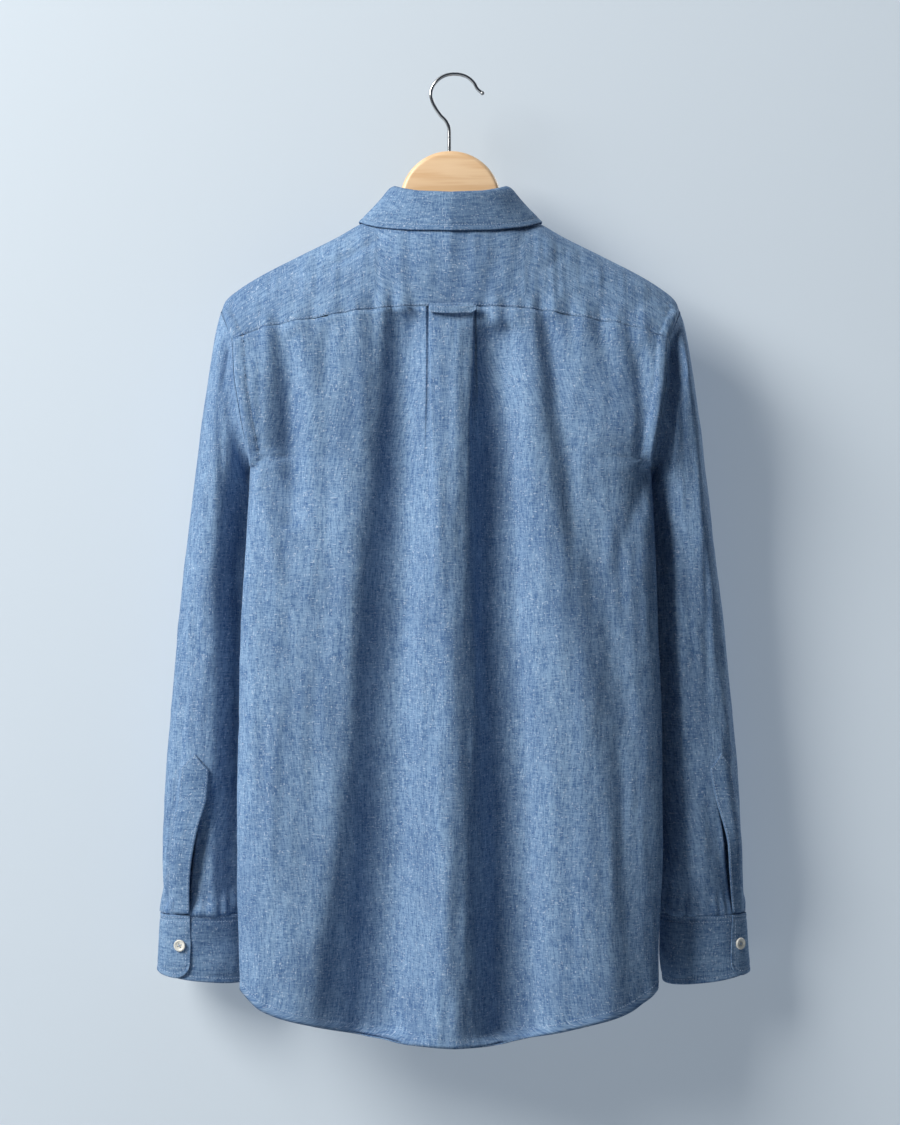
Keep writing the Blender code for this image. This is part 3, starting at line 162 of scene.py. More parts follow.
@dataclass(frozen=True)
class Ripple:
    """Seeded, smooth unevenness of cloth, longer one way than the other."""

    seed: int
    width: float
    length: float
    rise: float

    def __call__(self, across: Array, along: Array) -> Array:
        """Rise in millimetres at places given across and along the cloth."""
        count = 61
        lattice = np.random.default_rng(self.seed).uniform(-1.0, 1.0, (count, count))
        u = np.asarray(across, dtype=float) / self.width + 17.31
        v = np.asarray(along, dtype=float) / self.length + 41.73
        u, v = np.broadcast_arrays(u, v)
        low_u, low_v = np.floor(u).astype(int), np.floor(v).astype(int)
        share_u, share_v = u - low_u, v - low_v
        share_u = share_u * share_u * (3.0 - 2.0 * share_u)
        share_v = share_v * share_v * (3.0 - 2.0 * share_v)
        near, far = (
            mix(*(lattice[(low_u + i) % count, (low_v + j) % count] for j in (0, 1)), share_v)
            for i in (0, 1))
        return self.rise * mix(near, far, share_u)


@dataclass(frozen=True)
class Crease:
    """Soft line of cloth that stands up, or sinks, between two places.

    The rise follows t**lead * (1 - t)**trail from the start to the end, so a crease
    with no lead starts at full height, as a gather does at its seam.
    """

    start: tuple[float, float]
    end: tuple[float, float]
    rise: float
    width: float
    lead: float = 0.7
    trail: float = 0.7

    def __call__(self, across: Array, along: Array) -> Array:
        """Rise in millimetres at places given across and along the cloth."""
        run = np.array(self.end) - np.array(self.start)
        length = float(np.hypot(*run))
        dx, dz = across - self.start[0], along - self.start[1]
        t = np.clip((dx * run[0] + dz * run[1]) / length ** 2, 0.0, 1.0)
        away = (dx * run[1] - dz * run[0]) / length
        inside = (dx * run[0] + dz * run[1]) / length ** 2
        fade = smooth_step(-0.12, 0.0, inside) * smooth_step(1.0, 0.98, inside)
        both = self.lead + self.trail
        peak = (self.lead / both) ** self.lead * (self.trail / both) ** self.trail
        shape = self.rise * fade * t ** self.lead * (1.0 - t) ** self.trail / peak
        return shape * bell(away, self.width)


def creases(*rows: tuple[float, ...]) -> tuple[Crease, ...]:
    """Creases from rows of start, end, rise and width, then lead and trail if given."""
    return tuple(Crease(row[:2], row[2:4], *row[4:]) for row in rows)


# ------------------------------------------------------------------- mesh making
@dataclass
class Patch:
    """Grid of points of a cloth face with the place of each point on the flat cut."""

    points: Array
    cut: Array


def grid_faces(rows: int, columns: int, start: int) -> Array:
    """Quads between the points of a grid whose first point has the given number."""
    index = start + np.arange(rows * columns).reshape(rows, columns)
    corners = (index[:-1, :-1], index[:-1, 1:], index[1:, 1:], index[1:, :-1])
    return np.stack(corners, axis=-1).reshape(-1, 4)


def facing_out(points: Array, outward: Outward) -> bool:
    """Whether a grid's quads, in their plain order, face outward on the whole."""
    across = points[:-1, 1:] - points[1:, :-1]
    down = points[1:, 1:] - points[:-1, :-1]
    middle = (points[:-1, :-1] + points[1:, 1:]) / 2.0
    return float(np.sum(np.cross(across, down) * outward(middle))) > 0.0


def add_object(name: str, data: bpy.types.ID) -> bpy.types.Object:
    """New object that holds some data, linked to the scene at the origin."""
    made = bpy.data.objects.new(name, data)
    bpy.context.scene.collection.objects.link(made)
    return made


def mesh_object(name: str, patches: Iterable[Patch], outward: Outward) -> bpy.types.Object:
    """Object whose mesh joins grids of points, in metres, with the cut as its UV map.

    Args:
        name: the piece's name.
        patches: grids that share points where they meet.
        outward: gives the outward direction at points, in millimetres.

    Returns:
        The new object, linked to the scene, with smooth faces.
    """
    points, cuts, faces, start = [], [], [], 0
    for patch in patches:
        rows, columns = patch.points.shape[:2]
        quads = grid_faces(rows, columns, start)
        faces.append(quads if facing_out(patch.points, outward) else quads[:, ::-1])
        points.append(patch.points.reshape(-1, 3))
        cuts.append(patch.cut.reshape(-1, 2))
        start += rows * columns
    placed = (np.concatenate(points) + CENTRE) * MM
    quads = np.concatenate(faces)
    mesh = bpy.data.meshes.new(name)
    mesh.from_pydata(placed.tolist(), [], quads.tolist())
    layer = mesh.uv_layers.new(name="cut")
    layer.data.foreach_set("uv", (np.concatenate(cuts)[quads.reshape(-1)] * MM).ravel())
    joined = bmesh.new()
    joined.from_mesh(mesh)
    bmesh.ops.remove_doubles(joined, verts=joined.verts, dist=WELD)
    joined.to_mesh(mesh)
    joined.free()
    mesh.shade_smooth()
    return add_object(name, mesh)


def add_wall(piece: bpy.types.Object, thickness: float) -> None:
    """Give a cloth face its wall, on the inner side."""
    wall = piece.modifiers.new("wall", "SOLIDIFY")
    wall.thickness = thickness * MM
    wall.offset = -1.0
    wall.use_quality_normals = True


def dress(piece: bpy.types.Object, material: bpy.types.Material, slot: str, *nodes: str) -> None:
    """Give a piece its material and its body, and hide the imported nodes that it stands for."""
    piece.data.materials.clear()
    piece.data.materials.append(material)
    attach(piece, "root")
    if nodes:
        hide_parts(*nodes)
    LOG.info("%s: %d faces", piece.name, len(piece.data.polygons))


def row_lengths(points: Array) -> Array:
    """Distance run along each row of a grid, from its first point."""
    steps = np.linalg.norm(np.diff(points, axis=1), axis=-1)
    return np.concatenate((np.zeros((len(points), 1)), np.cumsum(steps, axis=1)), axis=1)


# ---------------------------------------------------------------------- the body
@dataclass(frozen=True)
class Fold:
    """Large soft fold: its centre line and its rise at three heights, and its width."""

    line: tuple[float, float, float]
    rise: tuple[float, float, float]
    width: float

    def __call__(self, across: Array, z: Array, heights: tuple[float, float, float]) -> Array:
        """Rise in millimetres at places across the cloth and heights."""
        line, rise = (Curve(tuple(zip(heights, part)))(z) for part in (self.line, self.rise))
        return rise * bell(across - line, self.width)


FOLD_HEIGHTS = (-363.0, -699.0, -891.0)
BACK_FOLDS = (
    Fold((-90.0, -101.0, -138.0), (4.5, 9.0, 10.0), 30.0),
    Fold((-51.0, -62.0, -68.0), (-3.0, -6.0, -6.0), 20.0),
    Fold((4.0, 4.0, 5.0), (1.0, 9.0, 12.0), 26.0),
    Fold((42.0, 59.0, 73.0), (-4.5, -7.0, -7.0), 20.0),
    Fold((86.0, 134.0, 143.0), (4.5, 8.0, 10.0), 30.0),
    Fold((-150.0, -160.0, -172.0), (-4.0, -2.0, 0.0), 18.0),
    Fold((118.0, 168.0, 176.0), (-4.0, -2.0, 0.0), 18.0),
)
FRONT_FOLDS = (
    Fold((-78.0, -92.0, -104.0), (2.0, 7.0, 9.0), 26.0),
    Fold((-40.0, -46.0, -52.0), (-1.0, -4.0, -5.0), 18.0),
    Fold((70.0, 88.0, 96.0), (2.0, 7.0, 8.0), 26.0),
    Fold((38.0, 44.0, 50.0), (-1.0, -4.0, -5.0), 18.0),
    Fold((-128.0, -140.0, -148.0), (-1.0, -4.0, -5.0), 18.0),
    Fold((118.0, 134.0, 146.0), (-1.0, -4.0, -5.0), 18.0),
)


@dataclass(frozen=True)
class BodyForm:
    """The shirt's outer face around the hanger, as depths over a plane seen from behind."""

    shoulder: Curve = Curve((
        (0.0, -104.0), (40.0, -121.0), (72.0, -137.0), (88.0, -144.0), (108.0, -155.5),
        (145.0, -174.0), (184.0, -194.0), (206.0, -208.0), (216.7, -217.6), (221.5, -228.0)))
    width: Curve = Curve((
        (-228.0, 221.5), (-243.0, 214.5), (-259.0, 208.2), (-296.0, 205.3), (-329.0, 200.0),
        (-379.0, 193.0), (-440.0, 195.5), (-500.0, 198.0), (-590.0, 200.0), (-730.0, 200.5),
        (-800.0, 198.5), (-848.0, 196.5), (-930.0, 194.0)))
    side_seam: Curve = Curve((
        (-379.0, 12.0), (-410.0, 17.0), (-450.0, 21.0), (-500.0, 22.0), (-930.0, 22.0)))
    back_depth: Curve = Curve((
        (-104.0, 50.0), (-230.0, 52.0), (-300.0, 56.0), (-379.0, 61.0), (-500.0, 68.0),
        (-700.0, 73.0), (-930.0, 78.0)))
    front_depth: Curve = Curve((
        (-104.0, 42.0), (-230.0, 43.0), (-379.0, 41.0), (-500.0, 38.0), (-700.0, 38.0),
        (-930.0, 40.0)))
    shoulder_round: float = 110.0
    shoulder_power: float = 0.667
    back_power: float = 2.6
    front_power: float = 2.1
    armhole_top: float = -228.0
    armhole_low: float = -379.0
    armhole_depths: tuple[float, float] = (46.0, 42.0)
    armhole_lean: float = -12.0
    armhole_power: float = 2.3
    fold_top: float = -235.0

    def arm(self, x: Array, z: Array) -> Array:
        """Distance in from the side edge."""
        return self.width(z) - np.abs(x)

    def mean_y(self, x: Array, z: Array, side: Side, step: float) -> Array:
        """Mean depth place at three steps below and three above."""
        steps = (-3.0, -2.0, -1.0, 1.0, 2.0, 3.0)
        return sum(self.y(x, z + count * step, side) for count in steps) / 6.0

    def shoulder_z(self, x: Array) -> Array:
        """Height of the shoulder line."""
        return self.shoulder(np.abs(x))

    def edge_y(self, z: Array, side: Side) -> Array:
        """Depth place of a panel's side edge, at the armhole or the side seam."""
        share = np.clip((self.armhole_top - z) / (self.armhole_top - self.armhole_low), 0.0, 1.0)
        depth = self.armhole_depths[0 if side is Side.BACK else 1]
        rounded = side.value * depth * arch(2.0 * share - 1.0, self.armhole_power)
        rounded = rounded + self.armhole_lean * share * share
        return np.where(z >= self.armhole_low, rounded, -self.side_seam(z))

    def plain_depth(self, x: Array, z: Array, side: Side) -> Array:
        """Distance of the face without folds from the hanger's plane."""
        back = side is Side.BACK
        fall = np.clip((self.shoulder_z(x) - z) / self.shoulder_round, 0.0, 1.0)
        drape = (1.0 - (1.0 - fall) ** 2) ** self.shoulder_power
        full = (self.back_depth(z) if back else self.front_depth(z)) * drape
        share = np.minimum(np.abs(x) / self.width(z), 1.0)
        power = self.back_power if back else self.front_power
        drop = (full - side.value * self.edge_y(z, side)) * (1.0 - arch(share, power))
        return full - drop * self.side_share(z)

    def side_share(self, z: Array) -> Array:
        """How far the side edge shapes the face: 0 at the armhole's top, 1 a hand lower."""
        return 1.0 - smooth_step(self.armhole_top - 100.0, self.armhole_top, z)

    def fold_rise(self, x: Array, z: Array, side: Side) -> Array:
        """Rise of the large folds."""
        total = np.zeros(np.broadcast(x, z).shape)
        for fold in BACK_FOLDS if side is Side.BACK else FRONT_FOLDS:
            total = total + fold(x, z, FOLD_HEIGHTS)
        return total * (1.0 - smooth_step(FOLD_HEIGHTS[0], self.fold_top, z))

    def y(self, x: Array, z: Array, side: Side) -> Array:
        """Depth place of the outer face."""
        x, z = np.broadcast_arrays(np.asarray(x, dtype=float), np.asarray(z, dtype=float))
        depth = self.plain_depth(x, z, side)
        width = self.width(z)
        share = np.minimum(np.abs(x) / width, 1.0)
        short = side.value * self.edge_y(z, side) - self.plain_depth(width, z, side)
        depth = depth + np.where(z < self.armhole_top, short, 0.0) * smooth_step(0.7, 1.0, share)
        return side.value * (depth + self.fold_rise(x, z, side) * (1.0 - share ** 6))

    def point(self, x: Array, z: Array, side: Side) -> Array:
        """Points of the outer face."""
        return stack(x, self.y(x, z, side), z)

    def normal(self, x: Array, z: Array, side: Side) -> Array:
        """Outward directions of the outer face."""
        across = (self.y(x + 1.0, z, side) - self.y(x - 1.0, z, side)) / 2.0
        down = self.y(x, z, side) - self.y(x, z - 1.0, side)
        return unit(stack(-side.value * across, side.value, -side.value * down))


FORM = BodyForm()
NECK_HALF_WIDTH = 72.0
NECK_SHOULDER_Z = -137.0
NECK_BACK_DROP = 10.0
NECK_FRONT_DROP = 53.0
FRONT_YOKE_DROP = 24.0
BACK_CORNER_Z = -258.0
FRONT_CORNER_Z = -256.0
HEM_CORNER_Z = -871.0
FRONT_LAP = 15.0
FRONT_LAP_RISE = 1.9
HEM_STITCH = 8.5            # from the hem's edge up to its stitching
ARMHOLE_STITCH = 10.5       # from the armhole seam in to its stitching
BAND_STITCH = 12.0          # from the centre line out to the front band's stitching
YOKE_SEAM = Curve((
    (0.0, -227.5), (38.0, -227.8), (79.0, -230.5), (130.0, -238.5), (176.0, -246.5),
    (208.5, -258.0)))
YOKE_STITCH = 1.8           # from the yoke's seams up to their stitching
BACK_HEM = Curve((
    (0.0, -925.4), (30.0, -924.8), (66.0, -920.4), (103.0, -913.0), (140.0, -903.5),
    (165.0, -895.5), (182.0, -885.0), (196.0, -871.0)))
FRONT_HEM = Curve((
    (0.0, -906.0), (60.0, -904.0), (110.0, -898.0), (150.0, -888.0), (182.0, -877.0),
    (196.0, -871.0)))
YOKE_CORNER_X = YOKE_SEAM.rows[-1][0]
NECK_INNER = NECK_HALF_WIDTH * math.sqrt(1.0 - (FRONT_YOKE_DROP / NECK_FRONT_DROP) ** 2)


def neck_z(x: Array, side: Side) -> Array:
    """Height of the neckline."""
    drop = NECK_BACK_DROP if side is Side.BACK else NECK_FRONT_DROP
    round_off = np.maximum(0.0, 1.0 - (np.asarray(x) / NECK_HALF_WIDTH) ** 2)
    return NECK_SHOULDER_Z - drop * np.sqrt(round_off)


def front_seam_z(x: Array) -> Array:
    """Height of the yoke's front seams."""
    span = FORM.width(FRONT_CORNER_Z) - NECK_INNER
    share = np.clip((np.abs(x) - NECK_INNER) / span, 0.0, 1.0)
    return mix(NECK_SHOULDER_Z - FRONT_YOKE_DROP, FRONT_CORNER_Z, share)


# Gathers run from the yoke's seam down the back and, shorter, up the yoke. Each is
# (place across at the seam, rise, width, drift to its lower end, length).
GATHERS = (
    (-176.0, 0.9, 5.0, 6.0, 70.0), (-163.0, -0.8, 4.0, 4.0, 55.0), (-148.0, 0.7, 5.0, 8.0, 60.0),
    (-131.0, -1.0, 4.5, 5.0, 95.0), (-118.0, 0.9, 5.0, 8.0, 80.0), (-101.0, -0.8, 4.0, 6.0, 62.0),
    (-90.0, 0.8, 4.5, 2.0, 85.0), (-74.0, -1.2, 5.0, 4.0, 120.0), (-64.0, 0.9, 4.0, -2.0, 70.0),
    (-55.0, -1.2, 4.0, 2.0, 115.0), (-45.0, 1.0, 4.5, -1.0, 95.0), (-34.0, -0.7, 3.5, 0.0, 60.0),
    (31.0, -1.3, 5.0, 8.0, 130.0), (42.0, 1.0, 4.5, 8.0, 105.0), (52.0, -0.9, 4.0, 6.0, 72.0),
    (63.0, 0.7, 4.5, 6.0, 60.0), (77.0, 0.9, 4.5, 12.0, 90.0), (87.0, -1.4, 5.5, 22.0, 140.0),
    (99.0, 0.8, 5.0, 14.0, 80.0), (113.0, -0.7, 4.0, 10.0, 60.0), (128.0, 0.8, 5.0, 9.0, 70.0),
    (143.0, -1.0, 4.5, 12.0, 95.0), (157.0, 0.8, 4.5, 8.0, 66.0), (170.0, -0.9, 4.5, 8.0, 90.0),
    (184.0, 0.7, 4.5, 5.0, 60.0),
)
# Creases of the back panel, placed as they lie, and similar ones of the fronts.
BACK_CREASES = creases(
    (-43.0, -232.0, -58.0, -640.0, -17.0, 20.0, 0.3, 1.2),
    (-42.0, -330.0, -63.0, -925.0, -21.0, 27.0, 1.0, 0.15),
    (-82.0, -500.0, -97.0, -925.0, -14.0, 34.0, 1.0, 0.15),
    (-172.0, -360.0, -162.0, -925.0, 14.0, 38.0, 0.9, 0.2),
    (-6.0, -300.0, -8.0, -925.0, 4.0, 16.0, 1.0, 0.2), (43.0, -246.0, 49.0, -640.0, -18.0, 18.0, 0.3, 1.2),
    (48.0, -310.0, 57.0, -925.0, -26.0, 24.0, 0.9, 0.15),
    (-155.0, -252.0, -148.0, -440.0, -9.0, 11.0, 0.35, 0.5),
    (-116.0, -236.0, -118.0, -315.0, -5.0, 8.0, 0.3, 0.7),
    (-184.0, -400.0, -178.0, -925.0, 4.0, 22.0, 1.0, 0.3),
    (188.0, -380.0, 186.0, -925.0, 8.0, 27.0, 0.7, 0.2),
    (95.0, -234.0, 118.0, -470.0, -7.5, 12.0, 0.3, 0.9),
    (-20.6, -226.0, -21.0, -420.0, -1.1, 1.3, 0.1, 0.8), (0.5, -230.0, 0.5, -268.0, 0.5, 1.6, 0.2, 0.5),
    (182.0, -262.0, 184.0, -430.0, -5.0, 9.0, 0.4, 0.8),
    (128.0, -470.0, 146.0, -700.0, 2.6, 14.0, 1.0, 1.0),
    (148.0, -640.0, 152.0, -925.0, 3.0, 16.0, 1.0, 0.3), (-196.0, -352.0, -128.0, -470.0, -2.4, 9.0),
    (-193.0, -372.0, -150.0, -520.0, 1.5, 8.0), (-190.0, -395.0, -162.0, -600.0, -1.6, 8.0),
    (-120.0, -330.0, -112.0, -560.0, -1.2, 7.0), (-136.0, -420.0, -140.0, -700.0, 1.2, 8.0),
    (-74.0, -380.0, -82.0, -660.0, -1.8, 9.0), (-34.0, -300.0, -38.0, -520.0, -0.9, 5.0),
    (-24.0, -420.0, -32.0, -760.0, 1.5, 9.0), (34.0, -330.0, 36.0, -640.0, -2.6, 9.0, 0.9, 0.9),
    (46.0, -400.0, 52.0, -700.0, 1.2, 7.0), (68.0, -300.0, 74.0, -520.0, 1.0, 6.0),
    (112.0, -330.0, 128.0, -560.0, -1.4, 8.0), (156.0, -420.0, 150.0, -640.0, 1.3, 8.0),
    (193.0, -365.0, 150.0, -500.0, -1.7, 8.0), (191.0, -385.0, 168.0, -610.0, 1.4, 8.0),
    (-170.0, -600.0, -176.0, -850.0, -1.3, 9.0), (-60.0, -640.0, -70.0, -915.0, -1.7, 11.0),
    (-112.0, -660.0, -126.0, -905.0, 1.2, 10.0), (24.0, -640.0, 34.0, -915.0, -1.8, 10.0),
    (96.0, -600.0, 100.0, -900.0, 1.1, 10.0), (160.0, -640.0, 166.0, -880.0, -1.4, 9.0),
    (0.0, -560.0, -6.0, -915.0, 1.0, 9.0),
)
FRONT_CREASES = creases(
    (-196.0, -345.0, -120.0, -440.0, -1.8, 9.0), (-192.0, -380.0, -150.0, -560.0, 1.5, 8.0),
    (196.0, -345.0, 116.0, -446.0, -1.7, 9.0), (192.0, -380.0, 154.0, -560.0, 1.4, 8.0),
    (-70.0, -230.0, -60.0, -430.0, 1.2, 9.0), (74.0, -226.0, 60.0, -420.0, 1.1, 9.0),
    (-110.0, -480.0, -122.0, -860.0, -1.4, 10.0), (112.0, -500.0, 118.0, -860.0, -1.4, 10.0),
    (-34.0, -520.0, -40.0, -890.0, -1.2, 8.0), (36.0, -540.0, 44.0, -890.0, -1.2, 8.0),
)
YOKE_CREASES = creases(
    (-122.0, -191.0, -64.0, -159.0, -2.8, 4.5), (-150.0, -190.0, -96.0, -205.0, 0.9, 6.0),
    (118.0, -172.0, 80.0, -196.0, -1.0, 6.0), (150.0, -196.0, 104.0, -214.0, 0.8, 6.0),
    (-190.0, -214.0, -160.0, -244.0, -0.9, 6.0), (192.0, -216.0, 160.0, -240.0, -0.9, 6.0),
    (-1.0, -158.0, 0.0, -222.0, 0.35, 2.0, 0.3, 0.3), (34.0, -186.0, 38.0, -228.0, -1.0, 4.0),
)
CLOTH_RIPPLES = (
    Ripple(11, 9.0, 70.0, 0.8), Ripple(12, 4.5, 30.0, 0.32), Ripple(13, 26.0, 120.0, 1.2),
    Ripple(14, 13.0, 15.0, 0.3), Ripple(15, 6.0, 7.0, 0.14),
)


def gather_rise(x: Array, z: Array, seam_z: Array, upward: bool) -> Array:
    """Rise of the gathers at places near the yoke's back seam.

    Args:
        x: places across.
        z: heights.
        seam_z: the seam's height above or below each place.
        upward: True on the yoke, where the gathers are short and shallow.

    Returns:
        The rise in millimetres.
    """
    total = np.zeros(np.broadcast(x, z).shape)
    shorten, strength = (0.35, 1.9) if upward else (1.0, 2.4)
    for across, rise, width, drift, length in GATHERS:
        reach = length * shorten
        share = np.clip(np.abs(z - seam_z) / reach, 0.0, 1.0)
        away = (x - across - (0.0 if upward else drift) * share) / (width * (1.0 + share))
        total = total + rise * strength * (1.0 - share) ** 1.5 * np.exp(-(away ** 2))
    return total


def cloth_rise(
        x: Array, z: Array, lines: Iterable[Crease], ripples: Iterable[Ripple] = CLOTH_RIPPLES) -> Array:
    """Rise of fine creases and of the cloth's own unevenness."""
    total = np.zeros(np.broadcast(x, z).shape)
    for part in (*lines, *ripples):
        total = total + part(x, z)
    return total


def pucker(distance: Array, along: Array, seed: int, rise: float = 0.28) -> Array:
    """Small puckers beside a line of stitching, and the dent that it pulls."""
    puckers = Ripple(seed, 3.4, 9.0, rise)(along, distance * 0.4)
    return puckers * bell(distance, 3.5) - 0.5 * bell(distance, 1.5)


def seam_band(inside: Array) -> Array:
    """Raised band of the seam allowance at an armhole, and the seam's own groove."""
    band = 1.1 * smooth_step(ARMHOLE_STITCH + 1.2, ARMHOLE_STITCH - 0.8, inside)
    return band - 1.6 * bell(inside, 2.0)


# ----------------------------------------------------------------------- the yoke
@dataclass
class Yoke:
    """Yoke over both shoulders, from the front seams to the gathered back seam."""

    columns: int = 110
    middle_columns: int = 70
    back_rows: int = 60
    front_rows: int = 26
    edge_turn: float = 1.0

    def back_face(self, top_x: Array, top_z: Array, low_x: Array, share: Array) -> Array:
        """Points between the yoke's top and its back seam, with folds and gathers."""
        x = mix(top_x, low_x, share)
        seam = YOKE_SEAM(np.abs(low_x))
        z = mix(top_z, seam, share)
        fade = smooth_step(0.0, 0.2, share)
        rise = gather_rise(x, z, seam, True) + cloth_rise(x, z, YOKE_CREASES) * fade
        rise = rise + pucker(z - seam - YOKE_STITCH, x, 21) * fade
        arm = FORM.arm(x, z)
        low = smooth_step(-214.0, -232.0, z)
        at_arm = (pucker(arm - ARMHOLE_STITCH, z, 22, 0.7) + seam_band(arm)) * low
        return self.lifted(x, z, Side.BACK, rise * smooth_step(0.0, 4.0, arm) + at_arm)

    @staticmethod
    def lifted(x: Array, z: Array, side: Side, rise: Array) -> Array:
        """Points of the body's face moved out by a rise, eased at the armhole's top."""
        place, mean = FORM.y(x, z, side), FORM.mean_y(x, z, side, 4.0)
        near = bell(z - FORM.armhole_top, 11.0) * smooth_step(0.5, 9.0, FORM.arm(x, z))
        points = FORM.point(x, z, side) + FORM.normal(x, z, side) * np.asarray(rise)[..., None]
        points[..., 1] += (mean - place) * near
        return points

    def turned_edge(self, points: Array) -> Array:
        """The grid with one more row, turned in below its last one."""
        last = points[-1:]
        inward = np.array((0.0, 1.0, 0.0)) * np.sign(-last[..., 1:2]) * self.edge_turn
        return np.concatenate((points, last + inward), axis=0)

    def patches(self) -> list[Patch]:
        """Grids of the yoke: the middle back, and each shoulder's back and front."""
        share = np.linspace(0.0, 1.0, self.back_rows)[:, None] ** 1.3
        tip = FORM.shoulder.rows[-1][0]
        turn = np.linspace(0.0, math.pi, self.middle_columns)[None, :]
        x = -NECK_HALF_WIDTH * np.cos(turn)
        made = [self.turned_edge(self.back_face(x, neck_z(x, Side.BACK), x, share))]
        for sign in (-1.0, 1.0):
            along = np.linspace(0.0, 1.0, self.columns)[None, :]
            top_x = mix(NECK_HALF_WIDTH, tip, along)
            low_x = mix(NECK_HALF_WIDTH, YOKE_CORNER_X, along)
            back = self.back_face(sign * top_x, FORM.shoulder_z(top_x), sign * low_x, share)
            made.append(self.turned_edge(back))
            made.append(self.turned_edge(self.front_face(sign, along, top_x)))
        return [Patch(points, self.cut(points)) for points in made]

    def front_face(self, sign: float, along: Array, top_x: Array) -> Array:
        """Points of one shoulder before its ridge."""
        share = np.linspace(0.0, 1.0, self.front_rows)[:, None] ** 1.5
        neck_x = NECK_HALF_WIDTH * np.sqrt(1.0 - (FRONT_YOKE_DROP * share / NECK_FRONT_DROP) ** 2)
        arm_x = FORM.width(mix(FORM.armhole_top, FRONT_CORNER_Z, share))
        x = mix(neck_x, arm_x, along)
        seam_x = mix(NECK_INNER, FORM.width(FRONT_CORNER_Z), along)
        z = mix(FORM.shoulder_z(top_x), front_seam_z(seam_x), share)
        rise = cloth_rise(x, z, ()) * smooth_step(0.0, 0.3, share) * smooth_step(0.0, 4.0, arm_x - x)
        return self.lifted(sign * x, z, Side.FRONT, rise)

    @staticmethod
    def cut(points: Array) -> Array:
        """Places on the flat cut: across, and down the back from the shoulder ridge."""
        down = np.linalg.norm(np.diff(points, axis=0), axis=-1)
        run = np.concatenate((np.zeros((1, points.shape[1])), np.cumsum(down, axis=0)))
        back = np.sign(np.mean(points[..., 1]))
        return pairs(back * run, points[..., 0])

    def seam_lines(self) -> list[Array]:
        """Stitching above the back seam and the front seams."""
        x = np.linspace(-204.0, 204.0, 420)
        z = YOKE_SEAM(np.abs(x)) + YOKE_STITCH
        rise = gather_rise(x, z, YOKE_SEAM(np.abs(x)), True) - 0.1
        lines = [self.lifted(x, z, Side.BACK, rise)]
        for sign in (-1.0, 1.0):
            x = sign * np.linspace(NECK_INNER + 3.0, 202.0, 150)
            lines.append(self.lifted(x, front_seam_z(x) + YOKE_STITCH, Side.FRONT, 0.0))
        return lines


# ------------------------------------------------------------- back and fronts
def panel_rows(corner_z: float, armhole_rows: int, lower_rows: int) -> Array:
    """Shares down a panel's side edge, closer together towards the underarm."""
    part = (corner_z - FORM.armhole_low) / (corner_z - HEM_CORNER_Z)
    lower = mix(part, 1.0, np.linspace(0.0, 1.0, lower_rows))
    return np.concatenate((part * soft_shares(armhole_rows), lower[1:]))


def above_underarm(z: Array) -> Array:
    """Soft step from 0 just below the underarm to 1 just above it."""
    return smooth_step(FORM.armhole_low - 8.0, FORM.armhole_low + 8.0, z)


def underarm_ease(x: Array, z: Array, side: Side) -> Array:
    """Move in depth that rounds the panel off beside the armhole's lowest place."""
    place, mean = FORM.y(x, z, side), FORM.mean_y(x, z, side, 9.0)
    near = bell(z - FORM.armhole_low, 34.0) * smooth_step(1.0, 16.0, FORM.arm(x, z))
    return (mean - place) * near


def hem_rise(above: Array, along: Array, seed: int) -> Array:
    """Rise of the turned hem, its stitching's dent and the puckers beside it."""
    turned = 0.45 * smooth_step(HEM_STITCH + 1.5, HEM_STITCH - 0.5, above)
    wave = Ripple(seed + 1, 13.0, 60.0, 0.7)(along, above)
    return turned + pucker(above - HEM_STITCH, along, seed, 0.4) + wave * smooth_step(26.0, 4.0, above)


def with_turned_edges(points: Array, top_in: Array, side_in: Array) -> Array:
    """A panel's grid with its hem rolled in and its seam edges tucked under.

    Args:
        points: the panel's outer face, from its top row to its hem.
        top_in: move of the tucked top edge, as a vector.
        side_in: moves of the first and last columns, as two vectors.

    Returns:
        The grid with a row more at its hem, two at its top and a column at each side.
    """
    inside = np.array((0.0, math.copysign(1.0, top_in[1]), 0.0))
    hem = points[-1:] + inside * 0.8 + np.array((0.0, 0.0, 0.5))
    under = points[:1] + inside * 0.7
    points = np.concatenate((under + top_in, under, points, hem), axis=0)
    first = points[:, :1] + side_in[0]
    last = points[:, -1:] + side_in[1]
    return np.concatenate((first, points, last), axis=1)


@dataclass(frozen=True)
class PleatSide:
    """One fold of the box pleat and where it opens on its way down."""

    edge: float
    inward: float
    closed_z: float
    open_z: float
    flat_z: float


